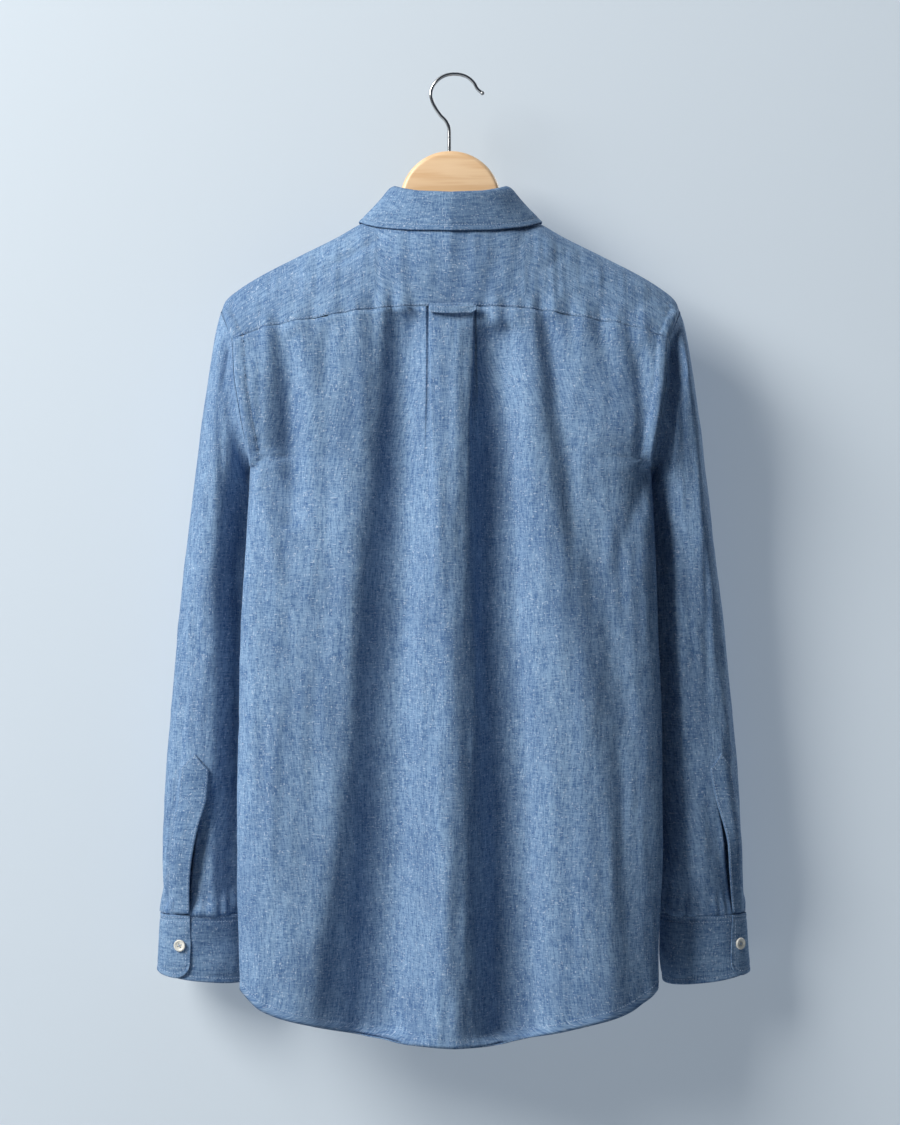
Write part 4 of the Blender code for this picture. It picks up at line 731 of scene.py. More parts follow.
@dataclass
class BackPanel:
    """Gathered back with its box pleat and shirt-tail hem."""

    flank_columns: int = 58
    pleat_columns: int = 34
    band_columns: int = 12
    armhole_rows: int = 46
    lower_rows: int = 168
    margin: float = 7.0
    under: float = 11.0
    bed: float = -1.4
    gap: float = 0.8
    top_rise: float = 2.6
    open_rise: float = 5.6
    left: PleatSide = PleatSide(-19.7, 1.0, -268.0, -425.0, -540.0)
    right: PleatSide = PleatSide(21.6, -1.0, -262.0, -350.0, -500.0)

    def profile(self) -> list[Curve]:
        """Across and out of the folded pleat, then of the open one, by column."""
        upper = self.bed + self.gap
        rows = (
            (-7.0, 0.0, -7.0, 0.0), (-4.0, 0.0, -6.1, 0.05), (-1.5, -1.8, -5.2, 0.1),
            (self.under, self.bed, -3.4, 0.2), (self.under + 0.7, self.bed + self.gap / 2.0, -1.7, 0.6),
            (self.under, upper, 0.0, 1.3), (0.5, upper, 1.2, 2.6),
            (-1.0, (upper + self.top_rise) / 2.0, 2.6, 4.2),
            (0.5, self.top_rise, 4.6, 5.4), (7.5, self.top_rise, 8.5, self.open_rise))
        return [Curve(tuple((float(i), row[part]) for i, row in enumerate(rows))) for part in range(4)]

    def height(self, x_top: Array, x_low: Array, share: Array) -> Array:
        """Height of a column between the seam and the hem."""
        return mix(YOKE_SEAM(np.abs(x_top)) - 0.2, BACK_HEM(np.abs(x_low)), share)

    def face(self, x: Array, z: Array, out: Array | float) -> Array:
        """Points of the back with creases, gathers and hem, moved out by the pleat."""
        arm = FORM.arm(x, z)
        rise = cloth_rise(x, z, BACK_CREASES) + gather_rise(x, z, YOKE_SEAM(np.abs(x)), False)
        rise = rise * smooth_step(0.0, 5.0, arm)
        at_arm = above_underarm(z)
        rise = rise + (pucker(arm - ARMHOLE_STITCH, z, 31, 1.1) + seam_band(arm)) * at_arm
        rise = rise + hem_rise(z - BACK_HEM(np.abs(x)), x, 32)
        points = FORM.point(x, z, Side.BACK) + FORM.normal(x, z, Side.BACK) * rise[..., None]
        points[..., 1] += underarm_ease(x, z, Side.BACK) - out
        return points

    def flank(self, fold: PleatSide, share: Array, edge_z: Array) -> Array:
        """Points from the pleat out to a side edge."""
        sign = -fold.inward
        inner = fold.edge - fold.inward * self.margin
        arc = soft_shares(self.flank_columns)[None, :]
        ends = (mix(inner, sign * FORM.width(corner), arc) for corner in (BACK_CORNER_Z, HEM_CORNER_Z))
        z = self.height(*ends, share)
        points = self.face(mix(inner, sign * FORM.width(edge_z), arc), z, 0.0)
        points[..., 1] -= 0.25 * (arc == 1.0) * (edge_z < FORM.armhole_low)
        return points

    def fold(self, fold: PleatSide, share: Array) -> Array:
        """Points of one fold of the pleat, from the flat panel to the band on top."""
        spot = np.linspace(0.0, 9.0, self.pleat_columns)[None, :]
        folded_in, folded_out, open_in, open_out = (curve(spot) for curve in self.profile())
        start = fold.edge + fold.inward * open_in
        z = self.height(start, start, share)
        opened = smooth_step(fold.closed_z, fold.open_z, z)
        x = fold.edge + fold.inward * mix(folded_in, open_in, opened)
        out = mix(folded_out, open_out, opened) * (1.0 - smooth_step(fold.open_z, fold.flat_z, z))
        return self.face(x, z, out)

    def patches(self) -> list[Patch]:
        """The whole back as one grid."""
        share = panel_rows(BACK_CORNER_Z, self.armhole_rows, self.lower_rows)[:, None]
        edge_z = mix(BACK_CORNER_Z, HEM_CORNER_Z, share)
        left, right = self.fold(self.left, share), self.fold(self.right, share)[:, ::-1]
        part = np.linspace(0.0, 1.0, self.band_columns)[None, 1:-1]
        band_x = mix(left[:, -1:, 0], right[:, :1, 0], part)
        z = self.height(band_x, band_x, share)
        outs = [self.band_out(fold, z) for fold in (self.left, self.right)]
        band = self.face(band_x, z, mix(outs[0], outs[1], part))
        points = np.concatenate((
            self.flank(self.left, share, edge_z)[:, ::-1], left[:, 1:], band, right[:, :-1],
            self.flank(self.right, share, edge_z)), axis=1)
        sides = (np.array((1.8, 0.4, 0.0)), np.array((-1.8, 0.4, 0.0)))
        points = with_turned_edges(points, np.array((0.0, 3.6, 5.0)), sides)
        run = row_lengths(points)
        run = run - run[:, run.shape[1] // 2, None]
        return [Patch(points, pairs(run, points[..., 2]))]

    def band_out(self, fold: PleatSide, z: Array) -> Array:
        """How far the band between the folds stands off the panel."""
        opened = smooth_step(fold.closed_z, fold.open_z, z)
        return mix(self.top_rise, self.open_rise, opened) * (1.0 - smooth_step(fold.open_z, fold.flat_z, z))

    def seam_lines(self) -> list[Array]:
        """Stitching of the hem and beside the armholes."""
        x = np.linspace(-191.0, 191.0, 500)
        z = BACK_HEM(np.abs(x)) + HEM_STITCH
        band = smooth_step(-30.0, -14.0, x) * smooth_step(33.0, 16.0, x)
        lines = [self.face(x, z, self.band_out(self.right, z) * band)]
        for sign in (-1.0, 1.0):
            z = np.linspace(-250.0, -368.0, 120)
            lines.append(self.face(sign * (FORM.width(z) - ARMHOLE_STITCH), z, 0.0))
        return lines


@dataclass
class Front:
    """One front, from the neckline and the yoke's seam to the hem."""

    hand: Hand
    lift: float
    neck_columns: int = 30
    side_columns: int = 46
    armhole_rows: int = 40
    lower_rows: int = 130

    def face(self, across: Array, z: Array) -> Array:
        """Points at places out from the centre line on this front's own side."""
        x = self.hand.value * across
        arm = FORM.width(z) - across
        rise = cloth_rise(x, z, FRONT_CREASES) * smooth_step(0.0, 5.0, arm)
        rise = rise * smooth_step(14.0, 30.0, across)
        at_arm = above_underarm(z)
        rise = rise + pucker(arm - ARMHOLE_STITCH, z, 41, 0.3) * at_arm
        rise = rise + hem_rise(z - FRONT_HEM(across), x, 42)
        if self.lift > 0.0:
            rise = rise + 0.3 * smooth_step(FRONT_LAP + 1.2, FRONT_LAP, across)
            rise = rise + pucker(np.abs(across) - BAND_STITCH, z, 43, 0.2)
        points = FORM.point(x, z, Side.FRONT) + FORM.normal(x, z, Side.FRONT) * rise[..., None]
        points[..., 1] += self.lift * (1.0 - smooth_step(FRONT_LAP + 2.0, FRONT_LAP + 26.0, across))
        return points

    def patches(self) -> list[Patch]:
        """The front as one grid."""
        share = panel_rows(FRONT_CORNER_Z, self.armhole_rows, self.lower_rows)[:, None]
        edge_z = mix(FRONT_CORNER_Z, HEM_CORNER_Z, share)
        top_width = FORM.width(FRONT_CORNER_Z)
        neck_arc = (NECK_INNER + FRONT_LAP) / (top_width + FRONT_LAP)
        arc = np.concatenate((
            neck_arc * np.linspace(0.0, 1.0, self.neck_columns),
            mix(neck_arc, 1.0, soft_shares(self.side_columns)[1:])))[None, :]
        x_top = mix(-FRONT_LAP, top_width, arc)
        x_low = mix(-FRONT_LAP, FORM.width(HEM_CORNER_Z), arc)
        top = np.where(x_top < NECK_INNER - 0.6, neck_z(x_top, Side.FRONT), front_seam_z(x_top) - 0.2)
        x = mix(-FRONT_LAP, FORM.width(edge_z), arc)
        points = self.face(x, mix(top, FRONT_HEM(np.abs(x_low)), share))
        points[..., 1] += 0.25 * (arc == 1.0) * (edge_z < FORM.armhole_low)
        out = self.hand.value
        sides = (np.array((out * 1.2, -0.7, 0.0)), np.array((-out * 1.8, -0.4, 0.0)))
        points = with_turned_edges(points, np.array((0.0, -0.5, 3.0)), sides)
        run = row_lengths(points)
        return [Patch(points, pairs(run * out, points[..., 2]))]

    def seam_lines(self) -> list[Array]:
        """Stitching of the hem, the armhole and, on the upper front, its band."""
        across = np.linspace(-13.0, 191.0, 260)
        lines = [self.face(across, FRONT_HEM(np.abs(across)) + HEM_STITCH)]
        z = np.linspace(-262.0, -368.0, 110)
        lines.append(self.face(FORM.width(z) - ARMHOLE_STITCH, z))
        if self.lift > 0.0:
            z = np.linspace(-196.0, -896.0, 500)
            for across in (-BAND_STITCH, BAND_STITCH):
                lines.append(self.face(np.full_like(z, across), z))
        return lines


# --------------------------------------------------------------------- sleeves
SLEEVE_ROWS = (
    # row, outer x, outer z, inner x, inner z, centre y, depth
    (0, 221.5, -228.0, 193.0, -379.0, -3.0, 44.0), (1, 226.5, -247.0, 198.0, -385.0, 0.0, 45.0),
    (2, 231.0, -271.0, 200.0, -394.0, 4.5, 45.0), (3, 236.5, -303.0, 198.0, -408.0, 10.0, 44.0),
    (4, 243.0, -345.0, 192.0, -428.0, 16.0, 43.0), (5, 249.5, -395.0, 186.5, -458.0, 21.0, 42.0),
    (6, 256.5, -452.0, 183.5, -498.0, 24.5, 41.0), (7, 263.5, -512.0, 183.0, -545.0, 26.0, 41.0),
    (8, 269.0, -575.0, 184.0, -597.0, 26.5, 40.0), (9, 275.0, -640.0, 186.5, -652.0, 26.5, 40.0),
    (10, 279.5, -700.0, 189.5, -705.0, 26.5, 39.0), (11, 281.0, -755.0, 194.0, -758.0, 26.0, 36.0),
    (12, 281.5, -810.0, 199.5, -811.0, 25.0, 29.0),
)
SECTION = [Curve(tuple((float(row[0]), float(row[part])) for row in SLEEVE_ROWS)) for part in range(1, 7)]
ROW_AT = Curve(tuple(((row[2] + row[4]) / 2.0, float(row[0])) for row in SLEEVE_ROWS))
SLEEVE_SHIFT = {
    Hand.LEFT: Curve(((-450.0, 0.0), (-650.0, 0.0), (-880.0, 0.5))),
    Hand.RIGHT: Curve(((-450.0, 0.0), (-650.0, 1.0), (-880.0, 5.0))),
}
# The placket's free edge at each height, as a turn round the sleeve from its outer side.
SLIT_TURN = {
    Hand.LEFT: Curve(((-600.0, 90.0), (-671.0, 90.5), (-698.0, 90.0), (-722.0, 84.4), (-742.0, 80.7),
                      (-765.0, 77.7), (-788.0, 76.5), (-812.0, 77.0))),
    Hand.RIGHT: Curve(((-600.0, 71.0), (-671.0, 71.5), (-698.0, 69.0), (-722.0, 63.0), (-742.0, 59.0),
                       (-765.0, 58.0), (-788.0, 55.0), (-812.0, 51.0))),
}
# Height of the armhole's edge by the share of half a turn, from the shoulder to the yoke's corner.
ARMHOLE_BACK = Curve((
    (0.0, -228.0), (0.0714, -229.05), (0.1429, -231.6), (0.2143, -236.4), (0.2857, -243.0),
    (0.3571, -250.5), (0.4286, -258.0)))
ARMHOLE_FRONT = Curve((
    (0.0, -228.0), (0.0909, -229.4), (0.1818, -233.6), (0.2727, -242.56), (0.3636, -256.0)))
SLEEVE_POWER = 2.2
SLIT_TOP_ROW = 9.9
SLEEVE_END = 12.0            # the last row, at the cuff
PLACKET_TURN = 34.0
UNDER_SINK = {Hand.LEFT: 6.5, Hand.RIGHT: 3.0}         # of the slit's lower side
CREASE_SHIFT = {Hand.LEFT: (0.0, 0.0), Hand.RIGHT: (4.0, 26.0)}
# Depth of the tuck behind the body's edge at each height.
TUCK_DEPTH = Curve((
    (-800.0, 8.0), (-740.0, 16.0), (-640.0, 22.0), (-520.0, 25.0), (-400.0, 24.0), (-310.0, 15.0),
    (-262.0, 5.0)))


# Large folds of each sleeve, their lines as turns round it.
SLEEVE_FOLD_HEIGHTS = (-420.0, -640.0, -790.0)
SLEEVE_FOLDS = {
    Hand.LEFT: (
        Fold((60.0, 50.0, 33.0), (0.0, -0.8, -6.5), 5.5),
        Fold((250.0, 245.0, 240.0), (0.0, -3.0, -2.0), 16.0)),
    Hand.RIGHT: (
        Fold((55.0, 45.0, 22.0), (0.0, -0.8, -2.4), 8.0),
        Fold((255.0, 250.0, 240.0), (0.0, -3.0, -2.0), 16.0)),
}
# Creases over a sleeve, as turns round it and heights.
SLEEVE_CREASES = creases(
    (70.0, -300.0, 96.0, -430.0, -1.6, 9.0), (40.0, -320.0, 66.0, -520.0, 1.3, 9.0),
    (100.0, -400.0, 80.0, -560.0, -1.5, 8.0), (120.0, -430.0, 100.0, -640.0, 1.4, 9.0),
    (50.0, -470.0, 72.0, -640.0, -1.1, 7.0), (24.0, -520.0, 40.0, -720.0, 1.2, 8.0),
    (140.0, -440.0, 150.0, -600.0, -1.4, 10.0), (96.0, -660.0, 112.0, -800.0, -1.4, 7.0),
    (128.0, -690.0, 134.0, -806.0, 1.3, 6.0), (60.0, -720.0, 56.0, -806.0, 0.9, 5.0),
    (15.0, -700.0, 12.0, -806.0, -1.2, 6.0), (230.0, -380.0, 260.0, -560.0, -1.6, 10.0),
    (300.0, -340.0, 280.0, -520.0, 1.4, 10.0), (270.0, -560.0, 290.0, -760.0, -1.3, 9.0),
    (320.0, -600.0, 310.0, -790.0, 1.2, 9.0), (340.0, -440.0, 330.0, -620.0, -1.1, 9.0),
    (205.0, -620.0, 220.0, -800.0, -1.3, 9.0),
)


def round_section(turn: Array) -> tuple[Array, Array]:
    """Shares along and out of a sleeve's rounded section at turns round it."""
    angle = np.radians(turn)
    return tuple(signed_power(wave(angle), 2.0 / SLEEVE_POWER) for wave in (np.cos, np.sin))


@dataclass
class Sleeve:
    """Long sleeve from the armhole to the cuff, open below its placket's point."""

    hand: Hand
    columns: int = 120
    rows: int = 180
    slit_under: float = 6.0
    slit_half: float = 1.6
    over_rise: float = 4.6
    inner_move: float = 7.5
    blend_row: float = 2.1

    def section(self, turn: Array, row: Array, rise: Array | float = 0.0) -> Array:
        """Points of the plain section at turns and rows, moved out by a rise."""
        outer_x, outer_z, inner_x, inner_z, centre_y, depth = (curve(row) for curve in SECTION)
        half_x, half_z = (outer_x - inner_x) / 2.0, (outer_z - inner_z) / 2.0
        grow = 1.0 + rise / np.hypot(half_x, half_z)
        along, out = round_section(turn)
        x = self.hand.value * ((outer_x + inner_x) / 2.0 + half_x * along * grow)
        z = (outer_z + inner_z) / 2.0 + half_z * along * grow
        return stack(x + SLEEVE_SHIFT[self.hand](z), centre_y - (depth + rise) * out, z)

    def large_rise(self, turn: Array, z: Array) -> Array:
        """Rise of the large folds, the same as the solid's."""
        total = np.zeros(np.broadcast(turn, z).shape)
        for fold in SLEEVE_FOLDS[self.hand]:
            total = total + fold(turn, z, SLEEVE_FOLD_HEIGHTS)
        return total

    def beside_body(self, turn: Array, row: Array) -> Array:
        """Fall of the sleeve's back where it is tucked behind the body's edge."""
        plain = self.section(turn, row)
        z = plain[..., 2]
        away = np.abs(plain[..., 0]) - FORM.width(z) - 6.0
        width = np.where(away < 0.0, 28.0, 15.0 if self.hand is Hand.LEFT else 11.0)
        back = smooth_step(8.0, 60.0, turn) * smooth_step(200.0, 172.0, turn)
        fall = TUCK_DEPTH(z) * bell(away, width) * back * smooth_step(0.0, 0.6, row)
        if self.hand is Hand.LEFT:
            return fall
        outer = 10.0 * bell(turn - 38.0, 26.0) * smooth_step(0.3, 2.2, row)
        outer = outer * smooth_step(-806.0, -720.0, z)
        middle = 7.0 * bell(turn - 105.0, 45.0) * smooth_step(-400.0, -560.0, z)
        middle = middle * smooth_step(-808.0, -770.0, z)
        return mix(1.15, 0.5, smooth_step(-400.0, -520.0, z)) * fall - outer - middle

    def opening(self, row: Array) -> Array:
        """How far the slit stands open along the sleeve."""
        closing = 0.45 * smooth_step(11.0, SLEEVE_END, row)
        return smooth_step(SLIT_TOP_ROW - 0.6, SLIT_TOP_ROW + 0.9, row) * (1.0 - closing)

    def surface(self, turn: Array, row: Array, over: Array, folded: bool = True) -> Array:
        """Points of the outer face.

        Args:
            turn: turns round the sleeve, 0 at its outer side and 90 at the back.
            row: rows, 0 at the armhole and 12 at the cuff.
            over: True where the place is on the slit's upper side.
            folded: False under the placket, which lies flat.

        Returns:
            The points in millimetres.
        """
        turn = np.asarray(turn, dtype=float) % 360.0
        z = self.section(turn, row)[..., 2]
        rise = self.large_rise(turn, z) if folded else np.zeros(np.broadcast(turn, z).shape)
        away = turn - (SLIT_TURN[self.hand](z) - self.slit_under)
        opened = self.opening(row)
        upper = self.over_rise * opened * np.where(away < 0.0, smooth_step(-42.0, -8.0, away), 1.0)
        lower = -UNDER_SINK[self.hand] * opened * (1.0 - smooth_step(4.0, 34.0, away))
        rise = rise + np.where(over, upper, lower)
        if folded:
            fade = smooth_step(0.0, 0.7, row) * smooth_step(SLEEVE_END, 11.8, row)
            turn_off, z_off = CREASE_SHIFT[self.hand]
            fine = cloth_rise(turn + turn_off, z - z_off, SLEEVE_CREASES, ())
            for ripple in CLOTH_RIPPLES:
                fine = fine + ripple(turn * 0.75 + 400.0 * self.hand.value, z)
            clear = 1.0 - bell(away, 7.0) * opened
            gathers = Ripple(55, 6.0, 26.0, 1.6)(turn, z)
            rise = rise * smooth_step(-812.0, -797.0, z)
            rise = rise + fine * fade * clear
            rise = rise + gathers * smooth_step(-765.0, -804.0, z) * clear
            rise = rise + 2.6 * smooth_step(-786.0, -807.0, z) * clear
        points = self.section(turn, row, rise)
        points[..., 1] += self.beside_body(turn, row)
        inner = smooth_step(-0.2, -0.95, np.cos(np.radians(turn))) * bell(z + 400.0, 26.0)
        points[..., 0] -= self.hand.value * self.inner_move * inner
        return points

    def armhole(self, turn: Array) -> Array:
        """Points of the armhole's edge at turns round the sleeve."""
        turn = np.asarray(turn, dtype=float) % 360.0
        back_side = turn <= 180.0
        share = np.where(back_side, turn, 360.0 - turn) / 180.0
        heights = (self.edge_height(share, edge) for edge in (ARMHOLE_BACK, ARMHOLE_FRONT))
        z = np.where(back_side, *heights)
        y = np.where(back_side, FORM.edge_y(z, Side.BACK), FORM.edge_y(z, Side.FRONT))
        return stack(self.hand.value * FORM.width(z), y, z)

    @staticmethod
    def edge_height(share: Array, upper: Curve) -> Array:
        """Height along one side of the armhole, along the yoke and then its panel."""
        corner_share, corner_z = upper.rows[-1]
        lower = np.clip((share - corner_share) / (1.0 - corner_share), 0.0, 1.0)
        panel = mix(corner_z, FORM.armhole_low, np.sin(math.pi / 2.0 * lower))
        return np.where(share < corner_share, upper(share), panel)

    def grid(self, turn: Array, row: Array, over: Array) -> Array:
        """Points of the sleeve, led into the armhole's edge at its top."""
        points = self.surface(turn, row, over)
        lead = 1.0 - smooth_step(0.0, self.blend_row, row)
        return points + (self.armhole(turn) - self.section(turn % 360.0, 0.0)) * lead[..., None]

    def patches(self) -> list[Patch]:
        """The sleeve as one grid round from the slit, tucked under the armhole."""
        row = SLEEVE_END * np.linspace(0.0, 1.0, self.rows)[:, None] ** 1.12
        around = np.linspace(0.0, 360.0, self.columns + 1)[None, :]
        rough_z = self.section(90.0, row)[..., 2]
        start = SLIT_TURN[self.hand](rough_z) - self.slit_under
        spread = self.slit_half * (row > SLIT_TOP_ROW) * mix(1.0, -1.0, around / 360.0)
        last = np.broadcast_to(around >= 360.0, (self.rows, self.columns + 1))
        turn = start + around + spread
        points = self.grid(turn, row, (last & (row > SLIT_TOP_ROW)) | self.is_over(turn, row, last))
        centre = np.mean(points[0], axis=0)
        travel = unit(points[2] - points[0])
        inward = unit(centre - points[0])
        head = np.stack((
            points[0] - travel * 3.5 + inward * 1.9, points[0] - travel * 0.8 + inward * 1.5,
            points[0] + travel * 0.9))
        core = np.mean(points[-1], axis=0)
        level = unit((core - points[-1]) * np.array((1.0, 1.0, 0.0)))
        tail = points[-1] + level * 3.0 - np.array((0.0, 0.0, 3.5))
        points = np.concatenate((head, points[1:], tail[None]), axis=0)
        around = np.broadcast_to(around, points.shape[:2])
        run = np.radians(around - 180.0) * 43.0 * self.hand.value
        return [Patch(points, pairs(run, points[..., 2]))]

    def is_over(self, turn: Array, row: Array, last: Array) -> Array:
        """Whether places lie on the slit's upper side, by their turn."""
        folded = turn % 360.0
        z = self.section(folded, row)[..., 2]
        return (folded - (SLIT_TURN[self.hand](z) - self.slit_under) <= 0.0) | last

    def placket_point(self, share: Array, down: Array) -> Array:
        """Points of the placket: across from its fixed to its free edge, and down it."""
        corner = np.abs(share - 0.5) * 2.0
        z = mix(mix(-657.0, -671.0, corner), -810.2, down)
        turn = SLIT_TURN[self.hand](z) - PLACKET_TURN * (1.0 - share)
        row = ROW_AT(z)
        point = self.surface(turn, row, True, folded=False)
        outward = point - self.section(turn, row, -10.0)
        outward[..., 2] = 0.0
        wave = Ripple(61 + self.hand.value, 0.6, 26.0, 0.35)(share, z)
        wave = wave + 0.25 * np.cos(math.pi * (share - 0.5) * 1.6)
        edge = 0.8 * self.opening(row) * smooth_step(0.7, 1.0, share)
        return point + unit(outward) * (0.5 + 1.2 + edge + wave)[..., None]

    def placket_patches(self) -> list[Patch]:
        """The placket as one grid."""
        share = np.linspace(0.0, 1.0, 19)[None, :]
        down = np.linspace(0.0, 1.0, 84)[:, None] ** 1.1
        points = self.placket_point(share, down)
        return [Patch(points, pairs(points[..., 2], share * 24.0))]

    def seam_lines(self) -> list[Array]:
        """Stitching round the placket, with the bar that closes its top."""
        sides, peak_z, bar_z, rim_z = (0.07, 0.93), 0.016, 0.245, 0.12
        down, rim = np.linspace(rim_z, 0.985, 110), np.linspace(peak_z, rim_z, 12)
        peak = np.linspace(*sides, 24)
        lines = [self.placket_point(np.full_like(down, share), down) for share in sides]
        lines += [self.placket_point(peak, np.full_like(peak, place)) for place in (peak_z, bar_z)]
        return lines + [self.placket_point(np.full_like(rim, share), rim) for share in sides]


# ------------------------------------------------------------------ cuffs, collar
@dataclass
class Cuff:
    """Barrel cuff, buttoned, with a rounded lower corner on its upper end."""

    hand: Hand
    columns: int = 200
    rows: int = 44
    top_z: float = -811.8
    low_z: float = -872.0
    centre_y: float = 25.0
    lap_turn: float = 34.0
    lap_rise: float = 1.9
    corner_round: float = 16.0
    corner_turn: float = 23.0
    button_back: float = 13.5
    button_z: float = -841.0
    lean: dict[Hand, float] = field(default_factory=lambda: {Hand.LEFT: 12.0, Hand.RIGHT: 0.0})
    ends: dict[Hand, tuple[float, float]] = field(
        default_factory=lambda: {Hand.LEFT: (78.0, 81.0), Hand.RIGHT: (52.5, 62.0)})
    outer: Curve = Curve(((0.0, 283.5), (0.5, 285.0), (1.0, 287.0)))
    inner: Curve = Curve(((0.0, 199.5), (0.5, 199.5), (1.0, 202.0)))
    depth: Curve = Curve(((0.0, 30.0), (0.5, 30.5), (1.0, 31.0)))

    def point(self, travel: Array, share: Array, fine: bool = True) -> Array:
        """Points of the outer face; travel is the turn from the under end, share runs down."""
        travel, share = as_grids(travel, share)
        top_turn, low_turn = self.ends[self.hand]
        turn = travel + mix(top_turn, low_turn, share) - 360.0 - self.lap_turn
        from_end = 360.0 + self.lap_turn - travel
        back = np.clip(1.0 - from_end / self.corner_turn, 0.0, 1.0)
        low = self.low_z + 6.0 * np.cos(np.radians(turn)) - 4.5 * np.sin(np.radians(turn))
        low = low + self.corner_round * (1.0 - np.sqrt(np.maximum(0.0, 1.0 - back * back)))
        z = mix(self.top_z, low, share)
        rise = self.lap_rise * (1.0 - smooth_step(self.lap_turn, self.lap_turn + 30.0, from_end))
        if fine:
            run, edge = turn * 0.7, 44.0 * (1.0 - share)
            wide = Ripple(71, 24.0, 30.0, 0.7)(run, z) + Ripple(72, 7.0, 12.0, 0.16)(run, z)
            stitched = pucker(edge - 4.0, run, 73, 0.2) + pucker((z - self.top_z) + 5.0, run, 74, 0.2)
            fine_rise = (wide + stitched) * smooth_step(0.0, 6.0, from_end)
            rise = rise + fine_rise * smooth_step(0.0, 0.06, share)
        half = (self.outer(share) - self.inner(share)) / 2.0
        along, out = round_section(turn)
        x = self.hand.value * ((self.outer(share) + self.inner(share)) / 2.0 + (half + rise) * along)
        away = self.lean[self.hand] * (1.0 - along) / 2.0 * np.maximum(out, 0.0)
        away = away * mix(0.3, 1.0, smooth_step(0.0, 0.5, share))
        y = self.centre_y - (self.depth(share) + rise) * out + away
        return stack(x + SLEEVE_SHIFT[self.hand](z), y, z)

    def patches(self) -> list[Patch]:
        """The cuff as one grid from its under end to its upper one."""
        whole = 360.0 + self.lap_turn
        plain = np.linspace(0.0, whole - self.corner_turn, self.columns)
        corner = whole - self.corner_turn * (1.0 - np.linspace(0.0, 1.0, 18)[1:]) ** 1.7
        travel = np.concatenate((plain, corner))[None, :]
        points = self.point(travel, np.linspace(0.0, 1.0, self.rows)[:, None])
        centre = np.array((self.hand.value * 242.0, self.centre_y, 0.0))
        inward = (centre - points[:1]) * np.array((1.0, 1.0, 0.0))
        top = points[:1] + unit(inward) * 1.6 - np.array((0.0, 0.0, 0.4))
        points = np.concatenate((top, points), axis=0)
        run = np.broadcast_to(travel * 0.66, points.shape[:2])
        return [Patch(points, pairs(points[..., 2], run))]

    def button_seat(self) -> tuple[Array, Array]:
        """Place of the button on the cuff and its outward direction."""
        share = (self.button_z - self.top_z) / (self.low_z - self.top_z)
        travel = 360.0 + self.lap_turn - self.button_back
        sides = self.point(np.array((travel - 3.0, travel, travel + 3.0)), share, fine=False)
        across = sides[2] - sides[0]
        outward = unit(np.array((-across[1], across[0], 0.0)))
        return sides[1], outward if outward[1] < 0.0 else -outward

    def seam_lines(self) -> list[Array]:
        """Two rows of stitching below the top seam, and one along the end and the edge."""
        whole = 360.0 + self.lap_turn
        travel = np.linspace(4.0, whole - 3.0, 420)
        lines = [self.point(travel, share) for share in (0.035, 0.1)]
        lines.append(self.point(np.linspace(4.0, whole - 20.0, 400), 0.93))
        turn = np.linspace(0.0, math.pi / 2.0, 14)
        corner_travel = whole - 20.0 + 14.5 * np.sin(turn)
        corner_share = 0.93 - 0.06 * (1.0 - np.cos(turn))
        down = np.linspace(0.86, 0.1, 26)
        end_travel = np.concatenate((corner_travel, np.full_like(down, whole - 5.5)))
        return lines + [self.point(end_travel, np.concatenate((corner_share, down)))]


COLLAR_FOLD = Curve((
    (0.0, -116.3), (30.0, -114.7), (55.0, -110.8), (80.0, -107.2), (95.0, -110.0), (120.0, -124.0),
    (150.0, -147.0), (172.0, -158.0), (180.0, -158.5)))
FALL_EDGE_X = Curve((
    (0.0, 0.0), (25.0, 36.0), (50.0, 66.0), (70.0, 81.0), (90.0, 88.0), (108.0, 84.0), (126.0, 77.0),
    (145.0, 67.0), (160.0, 58.0)))
FALL_EDGE_Z = Curve((
    (0.0, -155.6), (25.0, -154.4), (50.0, -151.0), (70.0, -147.2), (90.0, -143.4), (108.0, -151.0),
    (126.0, -170.0), (145.0, -198.0), (160.0, -222.0)))


